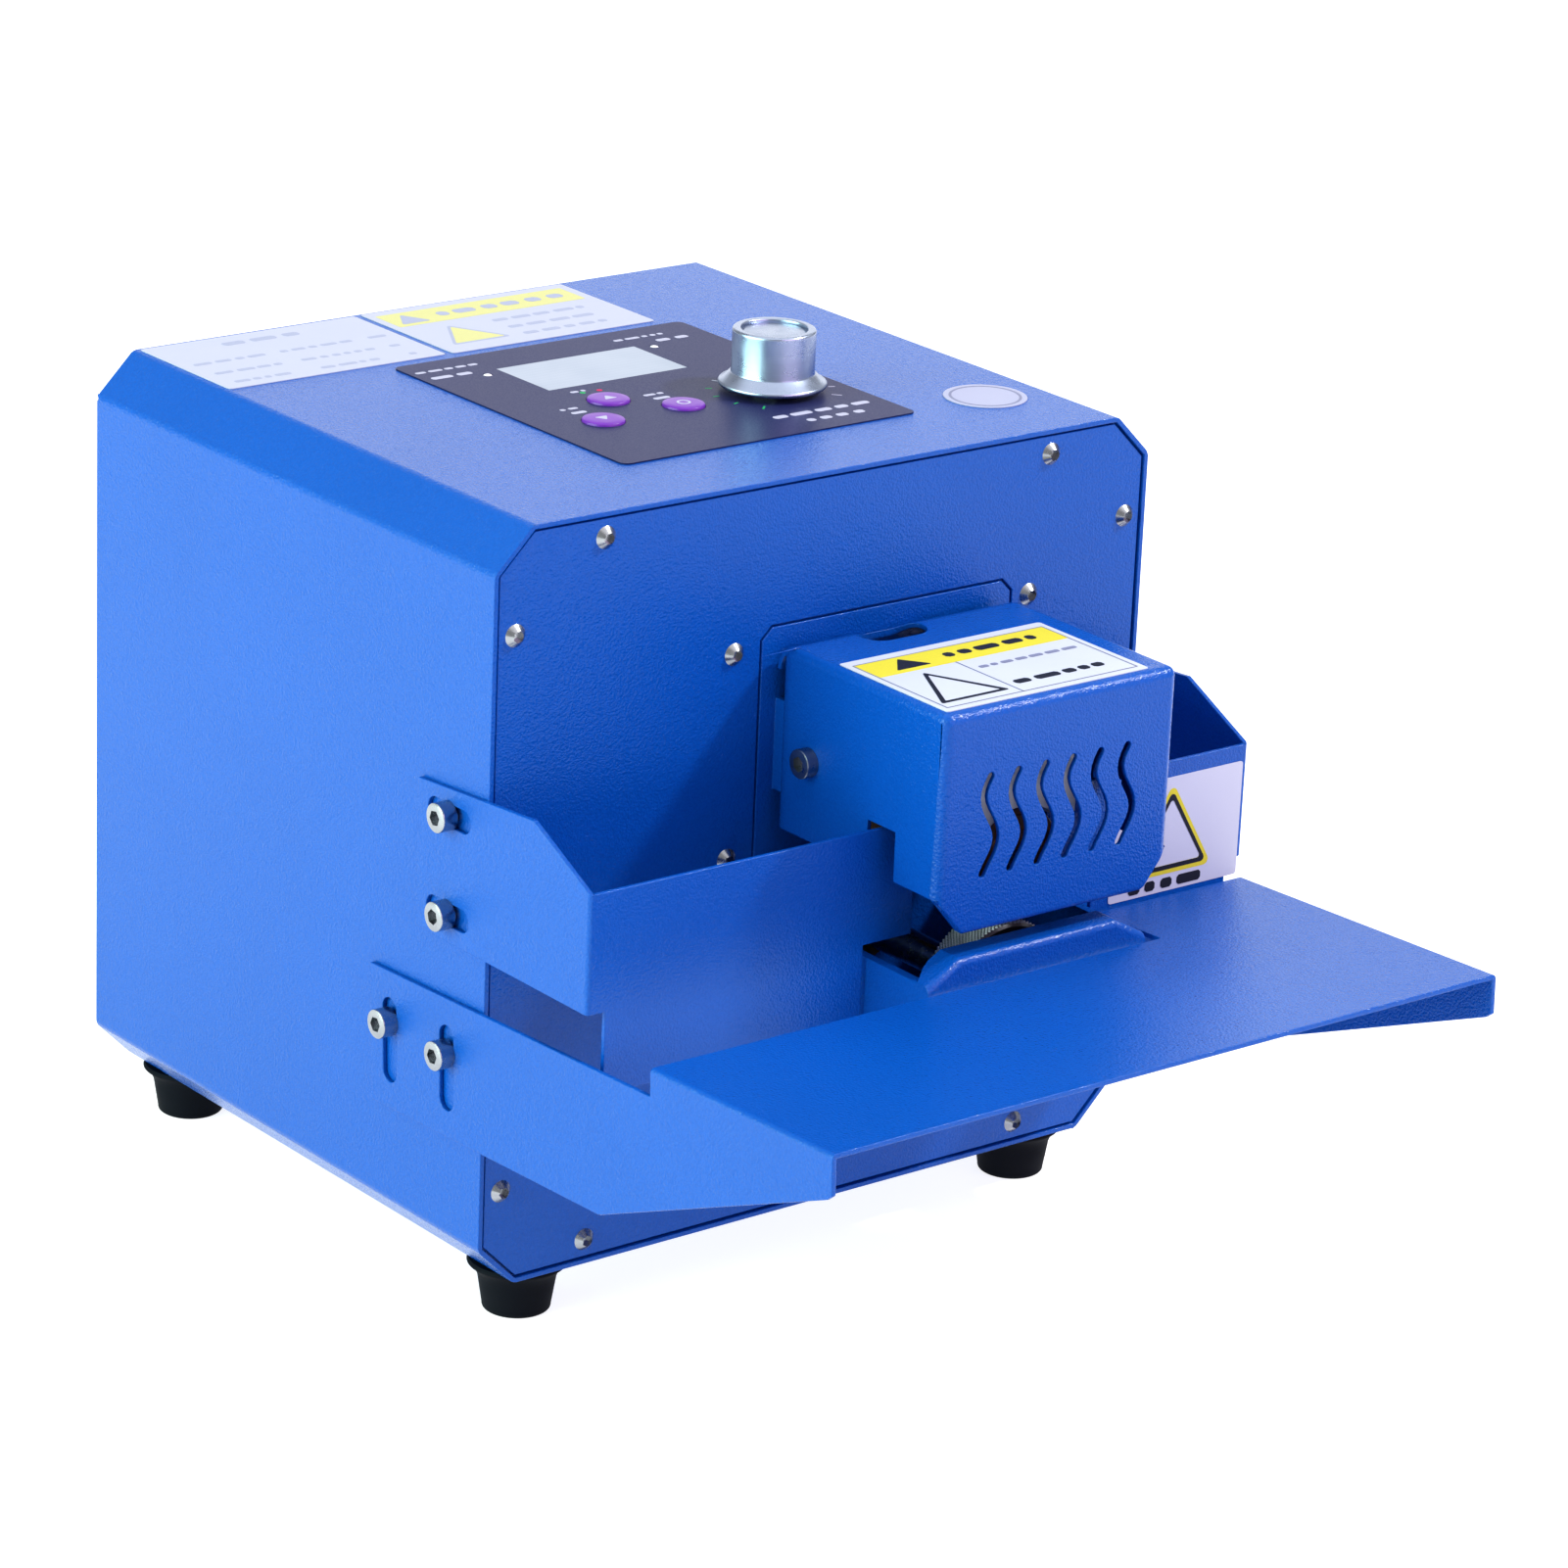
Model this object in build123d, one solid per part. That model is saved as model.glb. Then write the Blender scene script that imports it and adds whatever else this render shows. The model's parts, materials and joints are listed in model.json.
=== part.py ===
# Benchtop rotary film heat sealer: sheet-metal cabinet, sealing head with two driven wheels,
# U-shaped film guard, height-adjustable feed table and a top control panel.
# All sizes in millimetres. The parts are drawn in a cabinet frame (x from the left side,
# y from the front panel back, z from the cabinet's floor up) and placed once at export.
import math
import os

from build123d import *

os.makedirs("parts", exist_ok=True)

# ---------------------------------------------------------------- driving dimensions
cab_w, cab_d, cab_h = 232.0, 200.0, 222.0      # cabinet outside
cab_ch = 12.4                                  # 45 degree chamfer on its four long corners
sheet = 1.5                                    # sheet steel thickness
lip = 0.5                                      # how far the wrap stands past the end panels
panel_gap = 0.6                                # gap round each end panel
frame_w = 16.0                                 # width of the welded frame behind each end panel
foot_h, foot_r_top, foot_r_bot = 15.5, 14.4, 9.9
foot_x, foot_y = 24.5, 14.5                    # foot centres from the cabinet's sides and ends

m5_r, m5_cap_r, m5_cap_h = 2.5, 4.25, 5.0      # M5 socket cap screw
m5_btn_r, m5_btn_h = 4.75, 2.75                # M5 button head
m4_r, m4_cap_r, m4_cap_h = 2.0, 3.5, 4.0

axis_x = 133.75                                # common x of the two wheel shafts
low_z, up_z = 83.0, 121.4                      # shaft heights
wheel_y0, wheel_y1 = -63.5, -51.0              # both wheels between these planes
low_r, up_r = 21.0, 17.0                       # knurled wheel and heat wheel
shaft_r, run_gap = 5.0, 0.05                   # shaft radius and running clearance in its bushes
gear_m, z_low, z_up, z_pin = 1.2, 35, 29, 15   # gear module and tooth counts
gear_y0, gear_y1 = 12.0, 20.0
backlash = 0.16

head_x0, head_x1, head_y0 = 96.5, 180.0, -76.0   # head cover outside
head_top, head_side_z, head_low_z = 174.8, 121.0, 110.0
wall_y, wall_top = -49.5, 134.5                # film guard's front wall
guard_low, guard_skirt = 100.0, 76.0
open_x0, open_x1 = 93.0, 176.0                 # opening in the wall for the wheels
shaft_x0, shaft_x1, shaft_top = 110.0, 157.5, 130.5   # its narrower upper part for the upper shaft
house_x0, house_x1, house_y0 = 94.5, 173.5, -76.5
house_top, house_side, house_low = 103.2, 97.0, 57.0

tilt = 2.36                                    # feed table's upward slope to the front, degrees
tilt_z = 65.0                                  # height of the tilt line on the front panel plane
table_z, table_y0 = 92.0, -156.5               # table sheet's top and front edge before the tilt
cut_y, rear_y, cut_x = -79.1, -51.9, 177.5     # the cut-back round the lower wheel housing
brk_top, brk_low, brk_back = 84.0, 43.0, 52.0

knob_x, knob_y = 148.5, 71.0
keys = [("key_up", 100.9, 86.3), ("key_down", 87.1, 69.9), ("key_set", 116.7, 71.4)]
key_r, key_gap = 6.3, 0.15
over_x0, over_x1, over_y0, over_y1 = 66.5, 171.0, 32.0, 145.5
over_t = 0.4
lcd_x0, lcd_x1, lcd_y0, lcd_y1 = 92.0, 142.0, 103.0, 129.5
leds = [(86.2, 125.5), (147.2, 126.3)]

# placing: x to the middle, y to the middle of the whole machine, z up onto the feet
shift = Location((-cab_w / 2, -23.67, foot_h))


def save(shape, name):
    export_step(shape.moved(shift), f"parts/{name}.step")


# ---------------------------------------------------------------- small helpers
def blk(x0, x1, y0, y1, z0, z1):
    return Pos((x0 + x1) / 2, (y0 + y1) / 2, (z0 + z1) / 2) * Box(x1 - x0, y1 - y0, z1 - z0)


def group(items):
    return Compound(children=list(items))


def fuse(first, *rest):
    out = first
    for r in rest:
        out = out + r
    return out


def cyl_x(x0, x1, y, z, r):
    return Pos((x0 + x1) / 2, y, z) * Rot(0, 90, 0) * Cylinder(r, x1 - x0)


def cyl_y(x, y0, y1, z, r):
    return Pos(x, (y0 + y1) / 2, z) * Rot(90, 0, 0) * Cylinder(r, y1 - y0)


def cyl_z(x, y, z0, z1, r):
    return Pos(x, y, (z0 + z1) / 2) * Cylinder(r, z1 - z0)


def plate_xz(points, y0, y1):
    """A plate whose outline is given as (x, z) points, from y0 to y1."""
    face = Plane.XZ * make_face(Polyline(*points, close=True))
    return Pos(0, y1, 0) * extrude(face, y1 - y0)


def plate_yz(points, x0, x1):
    """A plate whose outline is given as (y, z) points, from x0 to x1."""
    face = Plane.YZ * make_face(Polyline(*points, close=True))
    return Pos(x0, 0, 0) * extrude(face, x1 - x0)


def octagon(inset):
    """Cabinet outline in x and z, moved in by inset."""
    c = cab_ch - inset * (2 - math.sqrt(2))
    a, b, d = inset, cab_w - inset, cab_h - inset
    return [(a + c, a), (b - c, a), (b, a + c), (b, d - c), (b - c, d), (a + c, d), (a, d - c), (a, a + c)]


def slot_x(y, z, length, width, x0, x1, vertical):
    """Round-ended slot through a plate facing x."""
    body = Pos((x0 + x1) / 2, y, z) * Rot(0, 90, 0) * extrude(
        SlotOverall(length, width, rotation=0 if vertical else 90), (x1 - x0) / 2, both=True)
    return body


def hex_y(x, y0, y1, z, flats):
    """Hexagonal prism along y."""
    return Pos(x, y1, z) * Rot(90, 0, 0) * extrude(RegularPolygon(flats / 2, 6, major_radius=False), y1 - y0)


def cap_screw_x(x, y, z, sign, length=9.0, r=m5_r, hr=m5_cap_r, hh=m5_cap_h, flats=4.0):
    """Socket cap screw with its bearing face at x; sign -1 puts the head towards -x."""
    head = Pos(0, 0, hh / 2) * Cylinder(hr, hh)
    head = chamfer(head.edges().group_by(Axis.Z)[-1], 0.4)
    head = head - Pos(0, 0, hh * 0.45) * extrude(RegularPolygon(flats / 2, 6, major_radius=False), hh)
    screw = head + Pos(0, 0, -length / 2) * Cylinder(r, length)
    return Pos(x, y, z) * Rot(0, 90 * sign, 0) * screw


def button_screw_y(x, y, z, sign, length=6.0):
    """M5 button-head screw with its bearing face at y; sign -1 puts the head towards -y."""
    rad = (m5_btn_r ** 2 + m5_btn_h ** 2) / (2 * m5_btn_h)
    dome = Pos(0, 0, m5_btn_h - rad) * Sphere(rad)
    head = (Pos(0, 0, m5_btn_h / 2) * Cylinder(m5_btn_r, m5_btn_h)) & dome
    head = head - Pos(0, 0, 1.1) * extrude(RegularPolygon(1.5, 6, major_radius=False), 3)
    screw = head + Pos(0, 0, -length / 2) * Cylinder(m5_r, length)
    return Pos(x, y, z) * Rot(-90 * sign, 0, 0) * screw


# ---------------------------------------------------------------- cabinet
front_screws = [(7.6, 191.5), (37.0, 214.5), (cab_w - 37.0, 214.5), (cab_w - 7.6, 191.5),
                (7.6, 29.0), (37.0, 7.4), (cab_w - 37.0, 7.4), (cab_w - 7.6, 29.0)]
plate_screws = [(82.6, 173.3), (189.3, 173.3), (82.6, 112.6), (189.3, 112.6)]
house_screws = [(86.0, 66.0), (182.0, 66.0)]
table_screws = [(42.6, 67.4), (14.8, 67.4)]
guard_screws = [(16.0, 137.0), (16.0, 108.2)]
side_screws = table_screws + guard_screws
foot_spots = [(x, y) for x in (foot_x, cab_w - foot_x) for y in (foot_y, cab_d - foot_y)]

wrap = plate_xz(octagon(0), -lip, cab_d + lip) - plate_xz(octagon(sheet), -lip - 1, cab_d + lip + 1)
ring = plate_xz(octagon(sheet - 0.2), 0, sheet) - plate_xz(octagon(frame_w), -1, sheet + 1)
shell = wrap + ring.moved(Location((0, sheet, 0))) + ring.moved(Location((0, cab_d - 2 * sheet, 0)))
for x, z in front_screws:
    shell = shell - cyl_y(x, -1, cab_d + 1, z, m5_r)
for y, z in side_screws:
    shell = shell - cyl_x(-1, cab_w + 1, y, z, m5_r)
for x, y in foot_spots:
    shell = shell - cyl_z(x, y, -1, 4, m4_r)
for name, x, y in keys:
    shell = shell - cyl_z(x, y, cab_h - 3, cab_h + 1, key_r + key_gap)
for x, y in leds:
    shell = shell - cyl_z(x, y, cab_h - 3, cab_h + 1, 1.5)
shell = shell - cyl_z(knob_x, knob_y, cab_h - 3, cab_h + 1, 4.5)
shell = shell - blk(lcd_x0 + 1.5, lcd_x1 - 1.5, lcd_y0 + 1.5, lcd_y1 - 1.5, cab_h - 3, cab_h + 1)
save(shell, "cabinet_shell")

cut_pts = [(91.7, 56.0), (183.0, 56.0), (183.0, 175.8), (179.2, 179.6), (95.5, 179.6), (91.7, 175.8)]
panel = plate_xz(octagon(sheet + panel_gap), 0, sheet) - plate_xz(cut_pts, -1, sheet + 1)
for x, z in front_screws + plate_screws + house_screws:
    panel = panel - cyl_y(x, -1, sheet + 1, z, m5_r)
save(panel, "front_panel")
save(group(button_screw_y(x, 0, z, -1, 5.0) for x, z in front_screws), "front_panel_screws")

inlet_x, inlet_z, rock_x, rock_z = 58.0, 48.0, 108.0, 48.0
pivot_r = 1.2                                  # the rocker switch turns on two stub pins
rear = plate_xz(octagon(sheet + panel_gap), cab_d - sheet, cab_d)
for x, z in front_screws:
    rear = rear - cyl_y(x, cab_d - 3, cab_d + 1, z, m5_r)
for row in range(9):
    louvre = SlotOverall(46, 3.2)
    z = 118 + row * 8
    for x in (78.0, cab_w - 78.0):
        rear = rear - Pos(x, cab_d + 1, z) * Rot(90, 0, 0) * extrude(louvre, 4)
rear = rear - blk(inlet_x - 14, inlet_x + 14, cab_d - 3, cab_d + 1, inlet_z - 10.5, inlet_z + 10.5)
for dx in (-20.0, 20.0):
    rear = rear - cyl_y(inlet_x + dx, cab_d - 3, cab_d + 1, inlet_z, 1.6)
rear = rear - blk(rock_x - 7, rock_x + 7, cab_d - 3, cab_d + 1, rock_z - 10, rock_z + 10)
save(rear, "rear_panel")
save(group(button_screw_y(x, cab_d, z, 1, 5.0) for x, z in front_screws), "rear_panel_screws")

foot_prof = Polyline((5.0, -foot_h), (foot_r_bot - 1.4, -foot_h), (foot_r_bot, -foot_h + 1.6), (11.2, -5.5),
                     (12.0, -3.4), (foot_r_top, -1.6), (foot_r_top, 0), (m4_r, 0), (m4_r, -6.0), (5.0, -6.0),
                     close=True)
foot = revolve(Plane.XZ * make_face(foot_prof), Axis.Z)
save(group(Pos(x, y, 0) * foot for x, y in foot_spots), "rubber_feet")
foot_screw = cyl_z(0, 0, -6.0, 8.0, m4_r) + cyl_z(0, 0, -9.0, -6.0, 4.0) - blk(-3, 3, -0.5, 0.5, -10, -8.2)
foot_nut = cyl_z(0, 0, sheet, sheet + 3.2, 3.9) - cyl_z(0, 0, 0, 9, m4_r)
save(group(Pos(x, y, 0) * foot_screw for x, y in foot_spots), "foot_screws")
save(group(Pos(x, y, 0) * foot_nut for x, y in foot_spots), "foot_nuts")

# ---------------------------------------------------------------- mechanism
pad_pts = [(92.4, 56.7), (182.3, 56.7), (182.3, 175.5), (178.9, 178.9), (95.8, 178.9), (92.4, 175.5)]
mech = blk(74, 198, sheet, sheet + 3, 48, 184) + plate_xz(pad_pts, 0, sheet + 0.5)
for x0 in (head_x0 + sheet, head_x1 - sheet - 2.0):
    mech = mech + blk(x0, x0 + 2.0, -26, 0.2, 131, 158)
for x, z in plate_screws + house_screws:
    mech = mech - cyl_y(x, -1, 6, z, m5_r)
for z in (low_z, up_z):
    mech = mech - cyl_y(axis_x, -1, 6, z, 7.5)
head_screw_y, head_screw_z = -17.8, 144.5
mech = mech - cyl_x(head_x0, head_x1, head_screw_y, head_screw_z, m5_r)
mech = mech + blk(121, 141, -20, 0.2, 152, 156) - cyl_z(131, -11, 150, 158, 3.05)
save(mech, "mechanism_plate")
save(group([button_screw_y(x, 0, z, -1, 5.5) for x, z in plate_screws]
           + [button_screw_y(x, -sheet, z, -1, 7.0) for x, z in house_screws]), "mechanism_screws")

rear_brg = blk(94, 173.5, 26, 29, 30, 146)
for z in (low_z, up_z):
    rear_brg = rear_brg - cyl_y(axis_x, 25, 30, z, 7.5)
rear_brg = rear_brg - cyl_y(axis_x, 25, 30, low_z - 30, 6.5)
pillar_spots = [(98.5, 54.0), (169.0, 54.0), (98.5, 141.0), (169.0, 141.0)]
save(rear_brg, "rear_bearing_plate")
save(group(cyl_y(x, sheet + 3, 26, z, 4.0) for x, z in pillar_spots), "bearing_pillars")


def bush(z, y0, y1, flange_first):
    f0, f1 = (y0, y0 + 2) if flange_first else (y1 - 2, y1)
    body = cyl_y(axis_x, y0, y1, z, 7.5) + cyl_y(axis_x, f0, f1, z, 10.0)
    return body - cyl_y(axis_x, y0 - 1, y1 + 1, z, shaft_r + run_gap)


save(group([bush(z, -2.0, sheet + 3, True) for z in (low_z, up_z)]
           + [bush(z, 26.0, 31.0, False) for z in (low_z, up_z)]), "shaft_bushes")


def gear(teeth, module, y0, y1, bore, x, z):
    """Spur gear along y with involute flanks and one tooth pointing to +z."""
    rp, ang = module * teeth / 2, math.radians(20)
    rb, ra, rf = rp * math.cos(ang), rp + module, rp - 1.25 * module
    half = (math.pi * module / 2 - backlash) / (2 * rp)          # half tooth angle at the pitch line
    inv = math.tan(ang) - ang

    def flank_angle(r):
        a = math.acos(min(1.0, rb / max(r, rb)))
        return half + inv - (math.tan(a) - a)

    radii = [rf] + [max(rb, rf) + (ra - max(rb, rf)) * k / 4 for k in range(5)]
    pts = []
    for t in range(teeth):
        mid = math.pi / 2 - 2 * math.pi * t / teeth
        for r in radii:
            a = mid + flank_angle(r)
            pts.append((r * math.cos(a), r * math.sin(a)))
        for r in reversed(radii):
            a = mid - flank_angle(r)
            pts.append((r * math.cos(a), r * math.sin(a)))
    body = plate_xz(pts, y0, y1) - cyl_y(0, y0 - 1, y1 + 1, 0, bore)
    return Pos(x, 0, z) * body


def wheel(z, r, hub_r):
    w = cyl_y(axis_x, wheel_y0, wheel_y1, z, r)
    w = chamfer(w.edges().filter_by(GeomType.CIRCLE), 0.8)
    w = w + cyl_y(axis_x, wheel_y1, wheel_y1 + 8, z, hub_r)
    return w - cyl_y(axis_x, wheel_y0 - 1, wheel_y1 + 9, z, shaft_r)


save(cyl_y(axis_x, wheel_y0 - 1.5, 33, low_z, shaft_r), "drive_shaft")
save(wheel(low_z, low_r, 10.0), "knurled_wheel")
save(gear(z_low, gear_m, gear_y0, gear_y1, shaft_r, axis_x, low_z), "drive_gear")
save(cyl_y(axis_x, wheel_y0 - 1.5, 33, up_z, shaft_r), "heat_shaft")
save(wheel(up_z, up_r, 7.6), "heat_wheel")
save(gear(z_up, gear_m, gear_y0, gear_y1, shaft_r, axis_x, up_z), "heat_gear")
pin_z = low_z - gear_m * (z_low + z_pin) / 2
save(gear(z_pin, gear_m, gear_y0 - 0.5, gear_y1 + 0.5, 3.0, axis_x, pin_z), "motor_pinion")
save(cyl_y(axis_x, gear_y0 - 2, 44, pin_z, 3.0), "motor_shaft")
motor = cyl_y(axis_x, 31, 57, pin_z, 18.5) + cyl_y(axis_x, 57, 104, pin_z, 17.0) + cyl_y(axis_x, 104, 108, pin_z, 6)
motor = motor + cyl_y(axis_x, 29, 31, pin_z, 6.4) - cyl_y(axis_x, 28, 50, pin_z, 3.0 + run_gap)
save(motor, "gear_motor")

# heater saddle over the heat wheel, held off the mechanism plate by two arms
heater = blk(114, 153.5, -66, -54, 134, 156) - cyl_y(axis_x, -70, -50, up_z, up_r + 0.7)
for x0 in (112.0, 143.0):
    heater = heater + blk(x0, x0 + 9, -56, -0.0, 144, 152)
heater = heater - cyl_x(100, 170, -60, 150, 3.0)
save(heater, "heater_block")
save(cyl_x(112, 155.5, -60, 150, 3.0), "cartridge_heater")
save(fuse(cyl_z(133.75, -60, 156, 160, 2.0), cyl_z(133.75, -60, 160, 163, 1.2)), "thermocouple")

# pressure screw in the bracket under the head cover's access hole
screw_head = cyl_z(131, -11, 163, 168, 4.6) - blk(125, 137, -11.6, -10.4, 166.2, 169)
save(screw_head + cyl_z(131, -11, 140, 163, 3.0), "pressure_screw")
helix = Helix(2.6, 15.6, 4.4, center=(131, -11, 135.2))
wire_end = Plane(origin=helix @ 0, z_dir=helix % 0)
save(sweep(wire_end * Circle(0.6), path=helix, is_frenet=True), "pressure_spring")
save(blk(124, 141, -18, -2.6, 131.6, 134.4), "pressure_saddle")

# ---------------------------------------------------------------- head cover
def cover_solid(inset):
    x0, x1, y0, z1 = head_x0 + inset, head_x1 - inset, head_y0 + inset, head_top - inset
    body = blk(x0, x1, y0, -0.4 + inset * 8, 100, z1)
    long_top = [e for e in body.edges().filter_by(Axis.Y) if e.center().Z > z1 - 0.1]
    body = fillet(long_top, 2.6 - inset)
    rear_top = [e for e in body.edges().filter_by(Axis.X) if e.center().Z > z1 - 0.1 and e.center().Y > -10]
    if inset == 0:
        body = fillet(rear_top, 8.0)
    front = [e for e in body.edges() if abs(e.center().Y - y0) < 0.01 and e.center().Z > 101]
    return fillet(front, 3.0 - inset)


cover = cover_solid(0) - cover_solid(sheet)
rear_roll = blk(head_x0 + 1, head_x1 - 1, -9.9, -0.4, head_top - 9.9, head_top)
roll_out = Pos(0, -8.4, head_top - 8) * Rot(0, 90, 0) * Cylinder(8, 300)
roll_in = Pos(0, -8.4, head_top - 8) * Rot(0, 90, 0) * Cylinder(8 - sheet, 300)
quarter = blk(head_x0 + 1.2, head_x1 - 1.2, -8.4, 0, head_top - 8, head_top + 1)
cover = cover + ((roll_out - roll_in) & quarter)
lower_cut = [(head_x0 - 1, 90), (head_x0 - 1, head_low_z + 11.5), (head_x0, head_low_z + 11.5),
             (head_x0 + 10, head_low_z), (head_x1 - 9, head_low_z), (head_x1, head_low_z + 11.5),
             (head_x1 + 1, head_low_z + 11.5), (head_x1 + 1, 90)]
cover = cover - plate_xz(lower_cut, head_y0 - 1, 10)
cover = cover - blk(head_x0 - 1, head_x1 + 1, head_y0 + 4.0, 1, 90, head_side_z)
cover = cover - blk(head_x0 - 1, head_x1 + 1, -56.5, -44.5, 90, 135.7)
lip_pts = [(head_x0 + 0.2, head_low_z + 11.5), (head_x0 + 10, head_low_z), (head_x1 - 9, head_low_z),
           (head_x1 - 0.2, head_low_z + 11.5), (head_x1 - 2.2, head_low_z + 11.5), (head_x1 - 9.8, head_low_z + sheet),
           (head_x0 + 10.8, head_low_z + sheet), (head_x0 + 2.2, head_low_z + 11.5)]
cover = cover + plate_xz(lip_pts, head_y0 + 1.0, head_y0 + 4.0)


def wave(x, z):
    """One S-shaped vent slot, cut through the front."""
    n, hw, length, amp = 14, 1.15, 28.0, 2.5
    mid = []
    for k in range(n + 1):
        s = k / n
        mid.append((x - amp * math.sin(2 * math.pi * (s * 1.1 + 0.03)), z + length / 2 - s * length))
    left, right = [], []
    for k in range(n + 1):
        a, b = mid[max(k - 1, 0)], mid[min(k + 1, n)]
        d = math.hypot(b[0] - a[0], b[1] - a[1])
        nx, nz = -(b[1] - a[1]) / d * hw, (b[0] - a[0]) / d * hw
        left.append((mid[k][0] + nx, mid[k][1] + nz))
        right.append((mid[k][0] - nx, mid[k][1] - nz))
    slot = plate_xz(left + right[::-1], head_y0 - 1, head_y0 + 3)
    for px, pz in (mid[0], mid[-1]):
        slot = slot + cyl_y(px, head_y0 - 1, head_y0 + 3, pz, hw)
    return slot


vent_x0, vent_pitch, vent_z = 113.8, 9.85, 140.8
for i in range(6):
    cover = cover - wave(vent_x0 + i * vent_pitch, vent_z)
cover = cover - Pos(131, -9.5, 160) * extrude(SlotOverall(22, 12.5), 20)
cover = cover - cyl_x(head_x0 - 1, head_x1 + 1, head_screw_y, head_screw_z, m5_r)
save(cover, "head_cover")
save(group([cap_screw_x(head_x0, head_screw_y, head_screw_z, -1, 5.5, hh=4.0),
            cap_screw_x(head_x1, head_screw_y, head_screw_z, 1, 5.5, hh=4.0)]), "head_cover_screws")
save(blk(head_x0 + 2.7, head_x1 - 8.4, -72.8, -25.5, head_top, head_top + 0.2), "head_label")

# ---------------------------------------------------------------- lower wheel housing
open_y = -67.2                                 # front edge of its open top; it flares forward at each side
sl, sr = house_x0 + 11.2, house_x1 - 11.2
outer = [(house_x0, house_low), (house_x0, house_side), (sl, house_top), (sr, house_top),
         (house_x1, house_side), (house_x1, house_low)]
inner = [(house_x0 + sheet, house_low + sheet), (house_x0 + sheet, house_side - 0.9), (sl + 0.4, house_top - sheet),
         (sr - 0.4, house_top - sheet), (house_x1 - sheet, house_side - 0.9), (house_x1 - sheet, house_low + sheet)]
house = plate_xz(outer, house_y0, -0.0)
front_edges = [e for e in house.edges() if abs(e.center().Y - house_y0) < 0.01 and e.center().Z > house_side - 0.5]
house = fillet(front_edges, 2.2)
house = house - plate_xz(inner, house_y0 + sheet, 1)
house = house - blk(house_x0 - 1, house_x1 + 1, open_y, 1, house_side, 110)
for x, way in ((house_x0, 1), (house_x1, -1)):
    flare = [(x - way, open_y + 1), (x - way, open_y - 4.6), (x + way, open_y - 3.5), (x + 4.4 * way, open_y - 1.0),
             (x + 7.1 * way, open_y), (x + 7.1 * way, open_y + 1)]
    house = house - Pos(0, 0, house_side) * extrude(make_face(Polyline(*flare, close=True)), 13)
for x0, x1, sx in ((house_x0 - 14, house_x0 + sheet, 86.0), (house_x1 - sheet, house_x1 + 14, 182.0)):
    tab = blk(x0, x1, -sheet, -0.0, 60, 74) - cyl_y(sx, -3, 1, 66.0, m5_r + 0.2)
    house = house + tab
save(house, "lower_wheel_housing")

# ---------------------------------------------------------------- film guard
side = [(31.0, guard_low), (31.0, 143.6), (-23.0, 147.5), (wall_y, wall_top), (wall_y, guard_low)]
guard = plate_yz(side, -sheet, 0) + plate_yz(side, cab_w, cab_w + sheet)
low_left = blk(4.6, open_x0, wall_y, wall_y + sheet, guard_skirt, guard_low + 5)
low_right = blk(open_x1, cab_w - 4.6, wall_y, wall_y + sheet, guard_skirt, guard_low + 5)
wall = blk(-sheet, cab_w + sheet, wall_y, wall_y + sheet, guard_low, wall_top)
wall = wall + low_left + low_right - blk(open_x0, open_x1, wall_y - 1, wall_y + 3, 60, 101)
wall = wall - blk(shaft_x0, shaft_x1, wall_y - 1, wall_y + 3, 60, shaft_top)
guard = guard + wall
corners = [e for e in guard.edges().filter_by(Axis.Z) if abs(e.center().Y - wall_y) < 0.01
           and (e.center().X < -1 or e.center().X > cab_w + 1)]
guard = fillet(corners, 1.4)
for y, z in guard_screws:
    guard = guard - slot_x(y, z, 20.0, 6.5, -3, 1, False) - slot_x(y, z, 20.0, 6.5, cab_w - 1, cab_w + 3, False)
save(guard, "film_guard")
save(blk(182.6, 231.6, wall_y - 0.2, wall_y, 95.0, 129.7), "guard_label")
save(group([cap_screw_x(-sheet, y, z, -1) for y, z in guard_screws]
           + [cap_screw_x(cab_w + sheet, y, z, 1) for y, z in guard_screws]), "guard_screws")

# ---------------------------------------------------------------- feed table
brk = [(brk_back, brk_low), (brk_back, brk_top), (cut_y, brk_top), (cut_y, table_z), (table_y0, table_z),
       (table_y0, 80.5), (table_y0 + 2.0, 79.0), (-56.7, brk_low)]
top = blk(-sheet, cab_w + sheet, table_y0, cut_y, table_z - sheet, table_z)
top = top + blk(cut_x, cab_w + sheet, cut_y - 1, rear_y, table_z - sheet, table_z)
table = top + plate_yz(brk, -sheet, 0)
right_brk = [(brk_back, brk_low), (brk_back, brk_top), (rear_y, brk_top), (rear_y, table_z)] + brk[4:]
table = table + plate_yz(right_brk, cab_w, cab_w + sheet)
folds = [e for e in table.edges().filter_by(Axis.Y) if abs(e.center().Z - table_z) < 0.01
         and (e.center().X < -1 or e.center().X > cab_w + 1)]
table = fillet(folds, 1.4)
for y in (42.6, 14.8):
    table = table - slot_x(y, 63.45, 25.1, 6.5, -3, 1, True) - slot_x(y, 63.45, 25.1, 6.5, cab_w - 1, cab_w + 3, True)
table = Pos(0, 0, tilt_z) * Rot(-tilt, 0, 0) * Pos(0, 0, -tilt_z) * table
save(table, "feed_table")
save(group([cap_screw_x(-sheet, y, z, -1) for y, z in table_screws]
           + [cap_screw_x(cab_w + sheet, y, z, 1) for y, z in table_screws]), "table_screws")

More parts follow.
